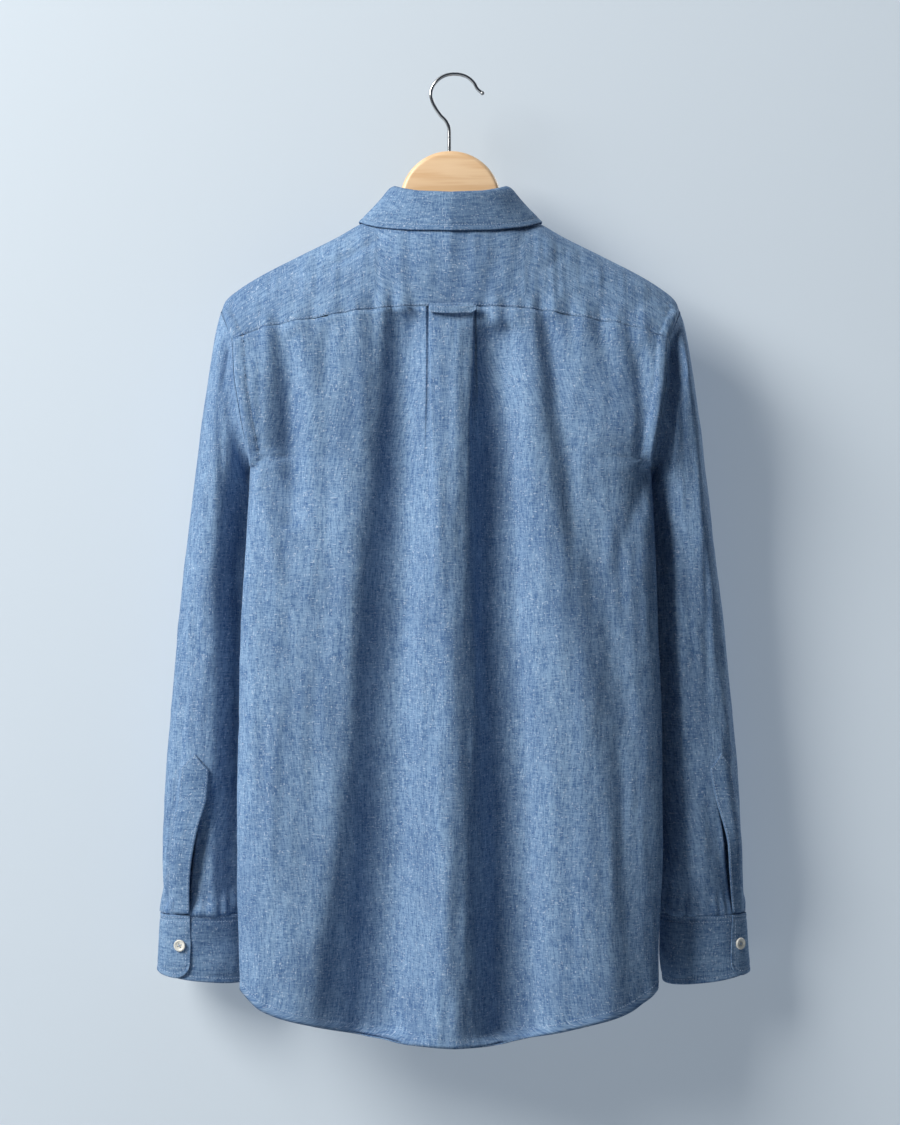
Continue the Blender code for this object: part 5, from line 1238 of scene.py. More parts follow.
@dataclass
class Collar:
    """Stand and turned-down fall, with the fall's stitched edge."""

    fold_width: float = 55.5
    fold_depth: float = 34.0
    centre_y: float = 3.0
    front_turn: float = 172.0
    edge_turn: float = 160.0
    clearance: float = 2.8
    roll: float = 3.2
    roll_rise: float = 0.6
    roll_share: float = 0.05
    stand_drop: float = 2.8
    stand_front_drop: float = 4.8
    stand_end: float = 188.0
    lap_rise: float = 2.2
    seam_rise: float = 0.9
    stitch: float = 5.5

    def fold_point(self, turn: Array) -> Array:
        """Points of the fold line, round from the centre back."""
        x = self.fold_width * np.sin(np.radians(turn))
        y = self.centre_y - self.fold_depth * np.cos(np.radians(turn))
        folded = np.abs((np.asarray(turn) + 180.0) % 360.0 - 180.0)
        return stack(x, y, COLLAR_FOLD(folded))

    def neck_point(self, turn: Array) -> Array:
        """Points of the stand's foot, just inside the neckline."""
        cosine = np.cos(np.radians(turn))
        x = (NECK_HALF_WIDTH - self.seam_rise) * np.sin(np.radians(turn))
        back = cosine >= 0.0
        drop = np.where(back, NECK_BACK_DROP, NECK_FRONT_DROP) - self.seam_rise
        z = NECK_SHOULDER_Z - drop * np.abs(cosine)
        y = np.where(back, *(FORM.y(x, z, side) for side in Side))
        return stack(x, y, z + self.seam_rise / 2.0)

    def stand_point(self, turn: Array, share: Array) -> Array:
        """Points of the stand, round from the centre back and up from its foot."""
        turn, share = as_grids(turn, share)
        low, top = self.neck_point(turn), self.fold_point(turn)
        top[..., 2] -= self.stand_drop + self.stand_front_drop * smooth_step(88.0, 130.0, np.abs(turn))
        point = mix(low, top, share[..., None])
        point[..., 1] += self.lap_rise * smooth_step(156.0, 168.0, -turn)
        return point

    def edge_point(self, turn: Array) -> Array:
        """Points of the fall's edge, just clear of the panels."""
        x, z = FALL_EDGE_X(np.abs(turn)), FALL_EDGE_Z(np.abs(turn))
        z = np.minimum(z, FORM.shoulder_z(x))
        out_back, out_front = (FORM.normal(x, z, side) for side in Side)
        share = smooth_step(82.0, 98.0, np.abs(turn))[..., None]
        faces = (FORM.point(x, z, side) for side in Side)
        point = np.where(np.abs(turn)[..., None] <= 90.0, *faces)
        clear = self.clearance + FRONT_LAP_RISE * smooth_step(95.0, 125.0, np.abs(turn))
        point = point + unit(mix(out_back, out_front, share)) * clear[..., None]
        point[..., 0] = np.where(turn < 0.0, -point[..., 0], point[..., 0])
        return point

    def fall_point(self, turn: Array, share: Array) -> Array:
        """Points of the fall's outer face, round from the centre back and down it."""
        turn, share = as_grids(turn, share)
        top = self.fold_point(turn)
        low = self.edge_point(turn * self.edge_turn / self.front_turn)
        out = unit((top - np.array((0.0, self.centre_y, 0.0))) * np.array((1.0, 1.0, 0.0)))
        start = 1.0 - np.exp(-share / self.roll_share)
        length = np.linalg.norm(low - top, axis=-1)
        edge = (1.0 - share) * length
        fine = Ripple(81, 30.0, 26.0, 0.8)(turn, edge) + Ripple(82, 8.0, 8.0, 0.15)(turn, edge)
        fine = fine * np.sin(math.pi * share) ** 0.5 + pucker(edge - self.stitch, turn * 1.1, 83, 0.22)
        roll = self.roll * start * (1.0 - share) ** 1.5
        roll = roll + np.maximum(fine, -0.6) * smooth_step(0.0, 0.08, share)
        point = mix(top, low, share[..., None]) + out * roll[..., None]
        point[..., 2] += self.roll_rise * start * (1.0 - share) ** 4
        return point

    def stand_patches(self) -> list[Patch]:
        """The stand as one grid."""
        turn = np.linspace(-self.stand_end, self.stand_end, 220)[None, :]
        points = self.stand_point(turn, np.linspace(0.0, 1.0, 16)[:, None])
        return [Patch(points, pairs(points[..., 2], turn * 1.2))]

    def fall_patches(self) -> list[Patch]:
        """The fall as one grid with a rounded fold."""
        turn = np.linspace(-self.front_turn, self.front_turn, 260)[None, :]
        share = np.concatenate((np.linspace(0.0, 0.1, 10)[:-1], np.linspace(0.1, 1.0, 40)))[:, None]
        points = self.fall_point(turn, share)
        return [Patch(points, pairs(*np.broadcast_arrays(-share * 42.0, turn * 1.25)))]

    def seam_lines(self) -> list[Array]:
        """Stitching of the fall, 5.5 mm in from its edge and its front ends."""
        turn = np.linspace(-self.front_turn + 5.0, self.front_turn - 5.0, 420)
        low = self.edge_point(turn * self.edge_turn / self.front_turn)
        length = np.linalg.norm(self.fold_point(turn) - low, axis=-1)
        lines = [self.fall_point(turn, 1.0 - self.stitch / length)]
        share = np.linspace(0.12, 0.93, 40)
        for sign in (-1.0, 1.0):
            lines.append(self.fall_point(np.full_like(share, sign * (self.front_turn - 5.0)), share))
        foot = np.linspace(-self.stand_end + 4.0, self.stand_end - 4.0, 400)
        return lines + [self.stand_point(foot, 0.1)]


@dataclass
class LockerLoop:
    """Short strip over the top of the pleat, bowed away from it."""

    half_length: float = 22.5
    centre_x: float = 2.7
    width: float = 7.0
    bow: float = 3.2
    sag: float = 1.4
    off: float = 4.2

    def point(self, share: Array, down: Array) -> Array:
        """Points along the strip and down it."""
        share, down = as_grids(share, down)
        arc = np.sin(math.pi * share)
        x = self.centre_x + self.half_length * (2.0 * share - 1.0)
        z = -227.5 + 0.6 - self.width * down - self.sag * arc + 2.6 * smooth_step(0.86, 1.0, share) * down
        point = FORM.point(x, z, Side.BACK)
        crown = 0.5 * np.sin(math.pi * down) + Ripple(91, 0.2, 0.6, 0.3)(share, down)
        crown = crown + 2.2 * smooth_step(0.76, 0.95, share) * down ** 2
        point[..., 1] -= self.off + self.bow * arc ** 0.8 + crown
        return point

    def patches(self) -> list[Patch]:
        """The strip as one grid."""
        share, down = np.linspace(0.0, 1.0, 60)[None, :], np.linspace(0.0, 1.0, 12)[:, None]
        points = self.point(share, down)
        return [Patch(points, pairs(*np.broadcast_arrays(share * 46.0, -down * 7.0)))]

    def seam_lines(self) -> list[Array]:
        """A row of stitching along each edge."""
        share = np.linspace(0.04, 0.96, 50)
        return [self.point(share, down) for down in (0.16, 0.84)]


# --------------------------------------------------------------- buttons, hanger
@dataclass
class Button:
    """Four-hole button with a raised rim, sewn on with a cross of thread."""

    name: str
    seat: Array
    outward: Array
    turned: float = 0.3
    radius: float = 5.75
    thickness: float = 2.6
    gap: float = 0.4
    hole_off: float = 1.25
    hole_radius: float = 0.62
    segments: int = 40

    def frame(self) -> tuple[Array, Array, Array]:
        """The button's two directions across and the one out of it."""
        out = unit(np.asarray(self.outward, dtype=float))
        side = unit(np.cross(out, np.array((0.0, 0.0, 1.0))))
        up = np.cross(side, out)
        cosine, sine = math.cos(self.turned), math.sin(self.turned)
        return side * cosine + up * sine, up * cosine - side * sine, out

    def disc(self) -> bpy.types.Object:
        """Turned body with its four holes."""
        radius, thick = self.radius, self.thickness
        rings = (
            (0.0, thick - 0.9), (radius * 0.3, thick - 0.85), (radius * 0.5, thick - 0.68),
            (radius * 0.62, thick - 0.45), (radius * 0.72, thick - 0.12), (radius * 0.8, thick),
            (radius * 0.88, thick - 0.02), (radius * 0.95, thick - 0.25), (radius, thick - 0.75),
            (radius, thick * 0.45), (radius * 0.93, 0.25), (radius * 0.8, 0.0), (0.0, 0.0))
        body = bmesh.new()
        spots = [body.verts.new((across, 0.0, up)) for across, up in rings]
        for upper, lower in zip(spots, spots[1:]):
            body.edges.new((upper, lower))
        bmesh.ops.spin(
            body, geom=body.verts[:] + body.edges[:], cent=(0.0, 0.0, 0.0), axis=(0.0, 0.0, 1.0),
            angle=2.0 * math.pi, steps=self.segments, use_merge=True)
        bmesh.ops.remove_doubles(body, verts=body.verts, dist=0.001)
        bmesh.ops.recalc_face_normals(body, faces=body.faces)
        blank = self.linked(body, self.name + "_blank")
        drills = bmesh.new()
        for i in (-1.0, 1.0):
            for j in (-1.0, 1.0):
                drill = bmesh.ops.create_cone(
                    drills, cap_ends=True, segments=14, radius1=self.hole_radius,
                    radius2=self.hole_radius, depth=9.0)
                place = (i * self.hole_off, j * self.hole_off, 1.3)
                bmesh.ops.translate(drills, verts=drill["verts"], vec=place)
        cutter = self.linked(drills, self.name + "_drill")
        cut = blank.modifiers.new("holes", "BOOLEAN")
        cut.object, cut.operation, cut.solver = cutter, "DIFFERENCE", "EXACT"
        made = settled(blank, self.name)
        for spare in (blank, cutter):
            bpy.data.objects.remove(spare, do_unlink=True)
        made.data.shade_smooth()
        made.data.set_sharp_from_angle(angle=math.radians(40.0))
        self.to_place(made)
        return made

    @staticmethod
    def linked(shape: bmesh.types.BMesh, name: str) -> bpy.types.Object:
        """Object made from a bmesh, which is then freed."""
        mesh = bpy.data.meshes.new(name)
        shape.to_mesh(mesh)
        shape.free()
        return add_object(name, mesh)

    def to_place(self, piece: bpy.types.Object) -> None:
        """Move a mesh made about the button's own centre to its seat in the frame."""
        side, up, out = self.frame()
        count = len(piece.data.vertices)
        spots = np.empty(count * 3)
        piece.data.vertices.foreach_get("co", spots)
        spots = spots.reshape(count, 3)
        centre = self.seat + out * self.gap + CENTRE
        placed = (centre + spots[:, :1] * side + spots[:, 1:2] * up + spots[:, 2:] * out) * MM
        piece.data.vertices.foreach_set("co", placed.ravel())
        piece.data.update()

    def thread(self) -> bpy.types.Object:
        """Two crossed bars of thread through the holes, and the shank under them."""
        shape = bmesh.new()
        reach = self.hole_off
        for turn in (math.pi / 4.0, -math.pi / 4.0):
            for off in (-0.18, 0.18):
                bar = bmesh.ops.create_uvsphere(shape, u_segments=8, v_segments=6, radius=1.0)["verts"]
                bmesh.ops.scale(shape, verts=bar, vec=(reach * 1.5, 0.2, 0.3))
                bmesh.ops.translate(shape, verts=bar, vec=(0.0, off, self.thickness - 0.78))
                bmesh.ops.rotate(
                    shape, verts=bar, cent=(0.0, 0.0, 0.0), matrix=Matrix.Rotation(turn, 3, "Z"))
        stem = bmesh.ops.create_cone(
            shape, cap_ends=True, segments=10, radius1=1.3, radius2=1.1, depth=1.0)
        bmesh.ops.translate(shape, verts=stem["verts"], vec=(0.0, 0.0, -0.1))
        made = self.linked(shape, self.name + "_thread")
        made.data.shade_smooth()
        self.to_place(made)
        return made


def settled(source: bpy.types.Object, name: str) -> bpy.types.Object:
    """Plain mesh object of what a modified object evaluates to, in the frame.

    Args:
        source: the object with its modifiers, a mesh or a curve.
        name: the new piece's name.

    Returns:
        The new object, linked to the scene at the origin.
    """
    bpy.context.view_layer.update()
    graph = bpy.context.evaluated_depsgraph_get()
    mesh = bpy.data.meshes.new_from_object(source.evaluated_get(graph), depsgraph=graph)
    mesh.transform(source.matrix_world)
    mesh.name = name
    return add_object(name, mesh)


# The wire from inside the head to its tip, across and up.
HOOK_ROUTE = (
    (-4.8, -78.0), (-4.8, -66.0), (-4.8, -58.0), (-5.2, -49.8), (-8.6, -43.2), (-13.7, -37.8),
    (-19.7, -28.4), (-22.7, -19.0), (-21.2, -11.0), (-15.8, -4.0), (-8.4, 0.4), (0.0, 1.7),
    (8.2, 0.6), (14.6, -2.6), (19.4, -7.4), (22.6, -13.0), (27.0, -16.6))


@dataclass
class Hanger:
    """Flat wooden hanger with rounded edges, and its bent-wire hook."""

    thickness: float = 12.0
    edge_round: float = 4.6
    reach: float = 200.0
    head_radius: float = 49.0
    head_top: float = -73.0
    arm_height: float = 32.4
    neck_dip: float = 4.0
    rest: float = 3.2
    end_radius: float = 11.0
    wire: float = 3.4

    def outline(self) -> list[tuple[float, float]]:
        """Outline of the wood: a round head between two sloping arms."""
        head_z = self.head_top - self.head_radius
        turns = np.radians(np.linspace(0.0, 91.0, 44))
        radius = self.head_radius
        right = [(radius * math.sin(turn), head_z + radius * math.cos(turn)) for turn in turns]
        tops = np.concatenate(((58.0, 72.0), np.linspace(88.0, 186.0, 16)))
        dip = self.neck_dip * (1.0 - smooth_step(78.0, 104.0, tops))
        right.extend(zip(tops.tolist(), (FORM.shoulder_z(tops) - self.rest - dip).tolist()))
        end_x = self.reach - 11.5
        end_z = float(FORM.shoulder_z(end_x)) - self.rest - 15.0
        for turn in np.radians(np.linspace(-60.0, 115.0, 16)):
            right.append((
                end_x + self.end_radius * math.cos(turn), end_z - self.end_radius * math.sin(turn)))
        lows = np.array((174.0, 157.0, 140.0, 120.0, 100.0, 80.0, 60.0, 42.0, 25.0, 12.0, 0.0))
        under = FORM.shoulder_z(lows + 6.0) - self.rest - self.arm_height
        right.extend(zip(lows.tolist(), under.tolist()))
        return right + [(-x, z) for x, z in reversed(right[1:-1])]

    def wood(self) -> bpy.types.Object:
        """The wooden body."""
        shape = bpy.data.curves.new("hanger_body_outline", "CURVE")
        shape.dimensions, shape.fill_mode = "2D", "BOTH"
        shape.extrude = (self.thickness / 2.0 - self.edge_round) * MM
        shape.bevel_depth = self.edge_round * MM
        shape.bevel_resolution = 6
        shape.offset = -self.edge_round * MM
        line = self.spline(shape, [(x, z, 0.0) for x, z in self.outline()])
        line.use_cyclic_u = True
        return self.bent(shape, "hanger_wood", (CENTRE[0] * MM, 0.0, 0.0), (math.pi / 2.0, 0.0, 0.0))

    @staticmethod
    def spline(shape: bpy.types.Curve, points: list[tuple[float, float, float]]) -> bpy.types.Spline:
        """New straight-sided spline of a curve, through points in millimetres."""
        line = shape.splines.new("POLY")
        line.points.add(len(points) - 1)
        for spot, (x, y, z) in zip(line.points, points):
            spot.co = (x * MM, y * MM, z * MM, 1.0)
        return line

    def bent(self, shape: bpy.types.Curve, name: str, place: Triple = (0.0, 0.0, 0.0),
             turn: Triple = (0.0, 0.0, 0.0)) -> bpy.types.Object:
        """Plain mesh piece made from a curve that stands at a place and turn."""
        guide = add_object(name + "_guide", shape)
        guide.location, guide.rotation_euler = place, turn
        made = settled(guide, name)
        bpy.data.objects.remove(guide, do_unlink=True)
        self.weld(made)
        return made

    def hook(self) -> bpy.types.Object:
        """The wire, bent to its hook and let into the head."""
        shape = bpy.data.curves.new("hook_route", "CURVE")
        shape.dimensions = "3D"
        shape.bevel_depth = self.wire / 2.0 * MM
        shape.bevel_resolution = 4
        shape.use_fill_caps = True
        points = np.array(HOOK_ROUTE)
        padded = np.concatenate((points[:1], points, points[-1:]))
        path = []
        for a, b, c, d in zip(padded, padded[1:], padded[2:], padded[3:]):
            for t in np.linspace(0.0, 1.0, 7)[:-1]:
                path.append(0.5 * (
                    2.0 * b + (c - a) * t + (2.0 * a - 5.0 * b + 4.0 * c - d) * t * t
                    + (3.0 * b - a - 3.0 * c + d) * t ** 3))
        path.append(points[-1])
        self.spline(shape, [(x, 0.0, z) for x, z in path])
        return self.bent(shape, "hook_wire_bent")

    def tip(self) -> bpy.types.Object:
        """Round end of the wire."""
        shape = bmesh.new()
        ball = bmesh.ops.create_uvsphere(
            shape, u_segments=16, v_segments=10, radius=self.wire * 0.62 * MM)
        bmesh.ops.translate(shape, verts=ball["verts"], vec=(27.2 * MM, 0.0, -16.8 * MM))
        made = Button.linked(shape, "hook_tip")
        made.data.shade_smooth()
        return made

    @staticmethod
    def weld(piece: bpy.types.Object) -> None:
        """Join loose caps, point the faces outward and shade them smooth."""
        shape = bmesh.new()
        shape.from_mesh(piece.data)
        bmesh.ops.remove_doubles(shape, verts=shape.verts, dist=WELD)
        bmesh.ops.recalc_face_normals(shape, faces=shape.faces)
        shape.to_mesh(piece.data)
        shape.free()
        piece.data.materials.clear()
        piece.data.shade_smooth()
        piece.data.set_sharp_from_angle(angle=math.radians(35.0))


# ---------------------------------------------------------------------- stitching
@dataclass
class Sewing:
    """Geometry-node stitches along paths, made once and used for every seam."""

    thread: bpy.types.Material
    pitch: float = 2.9
    length: float = 2.1
    width: float = 0.7
    lean: float = 0.1

    def settings(self) -> dict[str, float]:
        """Named inputs of the node tree, in metres and radians."""
        sizes = {"Pitch": self.pitch, "Length": self.length, "Width": self.width}
        return {name: size * MM for name, size in sizes.items()} | {"Lean": self.lean}

    def tree(self) -> bpy.types.NodeTree:
        """Node tree that lays thread along the edges of a mesh.

        Returns:
            A tree with the inputs Pitch, Length, Width and Lean, in metres and radians.
        """
        tree = bpy.data.node_groups.new("stitches_along_seam", "GeometryNodeTree")
        face = tree.interface
        face.new_socket("Geometry", in_out="INPUT", socket_type="NodeSocketGeometry")
        for name, value in self.settings().items():
            socket = face.new_socket(name, in_out="INPUT", socket_type="NodeSocketFloat")
            socket.default_value = value
        face.new_socket("Geometry", in_out="OUTPUT", socket_type="NodeSocketGeometry")
        add = tree.nodes.new
        source, result = add("NodeGroupInput"), add("NodeGroupOutput")
        curve, spread = add("GeometryNodeMeshToCurve"), add("GeometryNodeCurveToPoints")
        align, turn = add("FunctionNodeAlignRotationToVector"), add("FunctionNodeRotateRotation")
        angle, low = add("FunctionNodeRandomValue"), add("ShaderNodeMath")
        lean, euler = add("ShaderNodeCombineXYZ"), add("FunctionNodeEulerToRotation")
        bead, size = add("GeometryNodeMeshIcoSphere"), add("ShaderNodeCombineXYZ")
        place, whole = add("GeometryNodeInstanceOnPoints"), add("GeometryNodeRealizeInstances")
        paint = add("GeometryNodeSetMaterial")
        spread.mode, align.axis, turn.rotation_space, low.operation = "LENGTH", "X", "LOCAL", "MULTIPLY"
        angle.inputs["Seed"].default_value = 7
        low.inputs[1].default_value = -1.0
        bead.inputs["Radius"].default_value = 0.5
        bead.inputs["Subdivisions"].default_value = 1
        paint.inputs["Material"].default_value = self.thread
        for start, output, end, into in (
                (source, "Geometry", curve, "Mesh"), (curve, "Curve", spread, "Curve"),
                (source, "Pitch", spread, "Length"), (spread, "Tangent", align, "Vector"),
                (source, "Lean", low, 0), (low, 0, angle, 2), (source, "Lean", angle, 3),
                (angle, 1, lean, "Z"), (lean, 0, euler, 0), (align, 0, turn, 0), (euler, 0, turn, 1),
                (source, "Length", size, "X"), (source, "Width", size, "Y"), (source, "Width", size, "Z"),
                (spread, "Points", place, "Points"), (bead, "Mesh", place, "Instance"),
                (turn, 0, place, "Rotation"), (size, 0, place, "Scale"),
                (place, "Instances", whole, "Geometry"), (whole, "Geometry", paint, "Geometry"),
                (paint, "Geometry", result, "Geometry")):
            tree.links.new(start.outputs[output], end.inputs[into])
        return tree

    def sew(self, name: str, lines: Iterable[Array]) -> bpy.types.Object:
        """One piece with the stitches of all the given lines.

        Args:
            name: the piece's name.
            lines: points along each run of stitching, in millimetres.

        Returns:
            The stitches as a plain mesh object.
        """
        points, edges = [], []
        for line in lines:
            start = len(points)
            points.extend(((line + CENTRE) * MM).tolist())
            edges.extend((spot, spot + 1) for spot in range(start, len(points) - 1))
        mesh = bpy.data.meshes.new(name + "_path")
        mesh.from_pydata(points, edges, [])
        path = add_object(name + "_path", mesh)
        tree = bpy.data.node_groups.get("stitches_along_seam") or self.tree()
        sewing = path.modifiers.new("stitches", "NODES")
        sewing.node_group = tree
        settings = self.settings()
        for item in tree.interface.items_tree:
            if item.in_out == "INPUT" and item.name in settings:
                sewing[item.identifier] = settings[item.name]
        made = settled(path, name)
        bpy.data.objects.remove(path, do_unlink=True)
        made.data.shade_smooth()
        return made


# ----------------------------------------------------------------------- finishes
Socket = bpy.types.NodeSocket
Colour = tuple[float, float, float, float]


def srgb(red: int, green: int, blue: int) -> Colour:
    """Linear colour with full cover from sRGB parts of 0 to 255."""
    parts = [part / 255.0 for part in (red, green, blue)]
    return *(part / 12.92 if part <= 0.04045 else ((part + 0.055) / 1.055) ** 2.4 for part in parts), 1.0


class Board:
    """Short calls that add nodes to one shader tree and link them."""

    def __init__(self, tree: bpy.types.NodeTree) -> None:
        """Work on the given tree."""
        self.tree = tree

    def put(self, socket: Socket, value: object) -> None:
        """Link a socket, or set it to a constant."""
        if isinstance(value, bpy.types.NodeSocket):
            self.tree.links.new(value, socket)
        else:
            socket.default_value = value

    def add(self, kind: str, **values: object) -> bpy.types.Node:
        """Node of a kind, with its inputs given by name."""
        node = self.tree.nodes.new(kind)
        for name, value in values.items():
            self.put(node.inputs[name.replace("_", " ")], value)
        return node

    def math(self, operation: str, first: object, second: object = 0.0, clamp: bool = False) -> Socket:
        """Result of a sum on two values."""
        node = self.tree.nodes.new("ShaderNodeMath")
        node.operation, node.use_clamp = operation, clamp
        self.put(node.inputs[0], first)
        self.put(node.inputs[1], second)
        return node.outputs[0]

    def times(self, first: object, second: object) -> Socket:
        """Product of two values."""
        return self.math("MULTIPLY", first, second)

    def plus(self, first: object, second: object, clamp: bool = False) -> Socket:
        """Sum of two values."""
        return self.math("ADD", first, second, clamp)

    def stretch(self, vector: Socket, scale: tuple[float, float, float], shift: float = 0.0) -> Socket:
        """Vector scaled along each axis and shifted."""
        away = (shift, shift * 0.7, shift * 0.3)
        return self.add("ShaderNodeMapping", Vector=vector, Scale=scale, Location=away).outputs[0]

    def noise(self, vector: Socket, scale: object, detail: float = 2.0, rough: float = 0.5) -> Socket:
        """Smooth noise from 0 to 1."""
        node = self.add(
            "ShaderNodeTexNoise", Vector=vector, Scale=scale, Detail=detail, Roughness=rough)
        return node.outputs["Fac"]

    def band(self, value: Socket, low: float, high: float) -> Socket:
        """Value run smoothly from 0 at the low bound to 1 at the high one."""
        node = self.add("ShaderNodeMapRange", Value=value, From_Min=low, From_Max=high)
        node.interpolation_type = "SMOOTHSTEP"
        return node.outputs[0]

    def blend(self, share: object, first: object, second: object, how: str = "MIX") -> Socket:
        """Colour between two."""
        node = self.tree.nodes.new("ShaderNodeMix")
        node.data_type, node.blend_type = "RGBA", how
        self.put(node.inputs["Factor"], share)
        self.put(node.inputs["A"], first)
        self.put(node.inputs["B"], second)
        return node.outputs["Result"]


def shader_group(
        name: str, outputs: Iterable[str], size: str, value: float
) -> tuple[Board, bpy.types.Node, bpy.types.Node]:
    """Start a shader node group.

    Args:
        name: the group's name.
        outputs: names of the outputs, all plain values.
        size: name of the input besides Vector.
        value: that input's default value.

    Returns:
        A board on the group's tree and its input and output nodes.
    """
    tree = bpy.data.node_groups.new(name, "ShaderNodeTree")
    tree.interface.new_socket("Vector", in_out="INPUT", socket_type="NodeSocketVector")
    socket = tree.interface.new_socket(size, in_out="INPUT", socket_type="NodeSocketFloat")
    socket.default_value = value
    for title in outputs:
        tree.interface.new_socket(title, in_out="OUTPUT", socket_type="NodeSocketFloat")
    return Board(tree), tree.nodes.new("NodeGroupInput"), tree.nodes.new("NodeGroupOutput")


def weave_group() -> bpy.types.NodeTree:
    """Plain weave of uneven yarns, read from the flat cut in metres.

    Outputs: Streak and Bar, the light and dark runs of the lengthwise and crosswise
    yarns; Speck, the few white slubs; Cloud, slow changes of depth; and Height.
    """
    board, source, result = shader_group(
        "uneven_plain_weave", ("Streak", "Bar", "Speck", "Cloud", "Height"), "Yarn", 0.5)
    cut = source.outputs["Vector"]
    fine = board.noise(board.stretch(cut, (1350.0, 210.0, 1.0)), 1.0, 1.0)
    coarse = board.noise(board.stretch(cut, (560.0, 80.0, 1.0), 31.0), 1.0, 2.0)
    grain = board.noise(board.stretch(cut, (760.0, 640.0, 1.0), 43.0), 1.0, 2.0)
    streak = board.plus(board.times(fine, 0.32), board.times(coarse, 0.5))
    streak = board.plus(streak, board.times(grain, 0.18))
    board.put(result.inputs["Streak"], board.band(streak, 0.38, 0.62))
    short = board.noise(board.stretch(cut, (230.0, 1250.0, 1.0), 53.0), 1.0, 1.0)
    long = board.noise(board.stretch(cut, (85.0, 620.0, 1.0), 17.0), 1.0, 2.0)
    bar = board.plus(board.times(short, 0.5), board.times(long, 0.5))
    board.put(result.inputs["Bar"], board.band(bar, 0.38, 0.62))
    upright = board.band(board.noise(board.stretch(cut, (900.0, 330.0, 1.0), 71.0), 1.0, 0.0), 0.7, 0.82)
    level = board.band(board.noise(board.stretch(cut, (300.0, 1000.0, 1.0), 89.0), 1.0, 0.0), 0.7, 0.82)
    board.put(result.inputs["Speck"], board.math("MAXIMUM", upright, level))
    cloud = board.noise(board.stretch(cut, (26.0, 15.0, 1.0), 5.0), 1.0, 3.0, 0.6)
    board.put(result.inputs["Cloud"], cloud)
    parts = board.add("ShaderNodeSeparateXYZ", Vector=cut)
    turn = board.math("DIVIDE", 2000.0 * math.pi, source.outputs["Yarn"])
    waves = [board.math("SINE", board.times(parts.outputs[axis], turn)) for axis in ("X", "Y")]
    crown = board.times(waves[0], waves[1])
    slub = board.plus(board.times(streak, 1.3), board.times(bar, 1.3))
    board.put(result.inputs["Height"], board.plus(board.times(crown, 0.22), slub))
    return board.tree


def mottle_group() -> bpy.types.NodeTree:
    """Slow and fine unevenness of a surface, read from Object coordinates in metres."""
    board, source, result = shader_group("soft_mottle", ("Slow", "Fine"), "Size", 20.0)
    vector, size = source.outputs["Vector"], source.outputs["Size"]
    board.put(result.inputs["Slow"], board.noise(vector, size, 3.0))
    board.put(result.inputs["Fine"], board.noise(vector, board.times(size, 22.0), 2.0))
    return board.tree


def shared_group(name: str, make: Callable[[], bpy.types.NodeTree]) -> bpy.types.NodeTree:
    """Node group of that name, made on its first use."""
    return bpy.data.node_groups.get(name) or make()


def begin_material(name: str, **values: object) -> tuple[bpy.types.Material, Board, bpy.types.Node]:
    """New material with its board and its Principled shader, some inputs set."""
    made = bpy.data.materials.new(name)
    made.use_nodes = True
    board, shader = Board(made.node_tree), made.node_tree.nodes["Principled BSDF"]
    for title, value in values.items():
        board.put(shader.inputs[title.replace("_", " ")], value)
    return made, board, shader


def mottle(board: Board, size: float) -> tuple[Socket, bpy.types.Node]:
    """Object coordinates, and a group node of mottle that reads them."""
    place = board.add("ShaderNodeTexCoord").outputs["Object"]
    node = board.add("ShaderNodeGroup")
    node.node_tree = shared_group("soft_mottle", mottle_group)
    board.put(node.inputs["Vector"], place)
    board.put(node.inputs["Size"], size)
    return place, node


def set_bump(
        board: Board, shader: bpy.types.Node, strength: float, distance: float, height: Socket) -> None:
    """Give a shader the bump of a height."""
    lift = board.add("ShaderNodeBump", Strength=strength, Distance=distance, Height=height)
    board.put(shader.inputs["Normal"], lift.outputs["Normal"])


@dataclass(frozen=True)
class WovenCotton:
    """Washed chambray: indigo yarns crossed by paler ones, with slubs."""

    name: str
    base: Colour
    pale: Colour
    deep: Colour
    speck: Colour = srgb(200, 216, 236)
    streak: float = 0.5
    bar: float = 0.42
    specks: float = 0.5
    cloud: float = 0.3
    bump: float = 0.2

    def build(self) -> bpy.types.Material:
        """The material, made of the weave group over the piece's own cut."""
        made, board, shader = begin_material(
            self.name, Roughness=0.92, Specular_IOR_Level=0.12, Sheen_Weight=0.12, Sheen_Roughness=0.5,
            Sheen_Tint=self.pale)
        cut, weave = board.add("ShaderNodeUVMap"), board.add("ShaderNodeGroup")
        cut.uv_map = "cut"
        weave.node_tree = shared_group("uneven_plain_weave", weave_group)
        board.put(weave.inputs["Vector"], cut.outputs["UV"])
        light = board.times(weave.outputs["Streak"], self.streak)
        colour = board.blend(light, self.base, self.pale)
        cross = board.times(weave.outputs["Bar"], self.bar)
        colour = board.blend(cross, colour, self.pale)
        dark = board.math("SUBTRACT", 1.0, board.band(weave.outputs["Streak"], 0.05, 0.5))
        colour = board.blend(board.times(dark, 0.1), colour, self.deep)
        slow = board.times(board.band(weave.outputs["Cloud"], 0.35, 0.7), self.cloud)
        colour = board.blend(slow, colour, self.deep)
        colour = board.blend(board.times(weave.outputs["Speck"], self.specks), colour, self.speck)
        board.put(shader.inputs["Base Color"], colour)
        set_bump(board, shader, self.bump, 0.0005, weave.outputs["Height"])
        return made


@dataclass(frozen=True)
class Thread:
    """Twisted sewing thread."""

    name: str
    colour: Colour
    shade: Colour

    def build(self) -> bpy.types.Material:
        """The material, with a fine change of tone from stitch to stitch."""
        made, board, shader = begin_material(self.name, Roughness=0.7, Specular_IOR_Level=0.3)
        _, tone = mottle(board, 30.0)
        board.put(shader.inputs["Base Color"], board.blend(tone.outputs["Fine"], self.colour, self.shade))
        return made


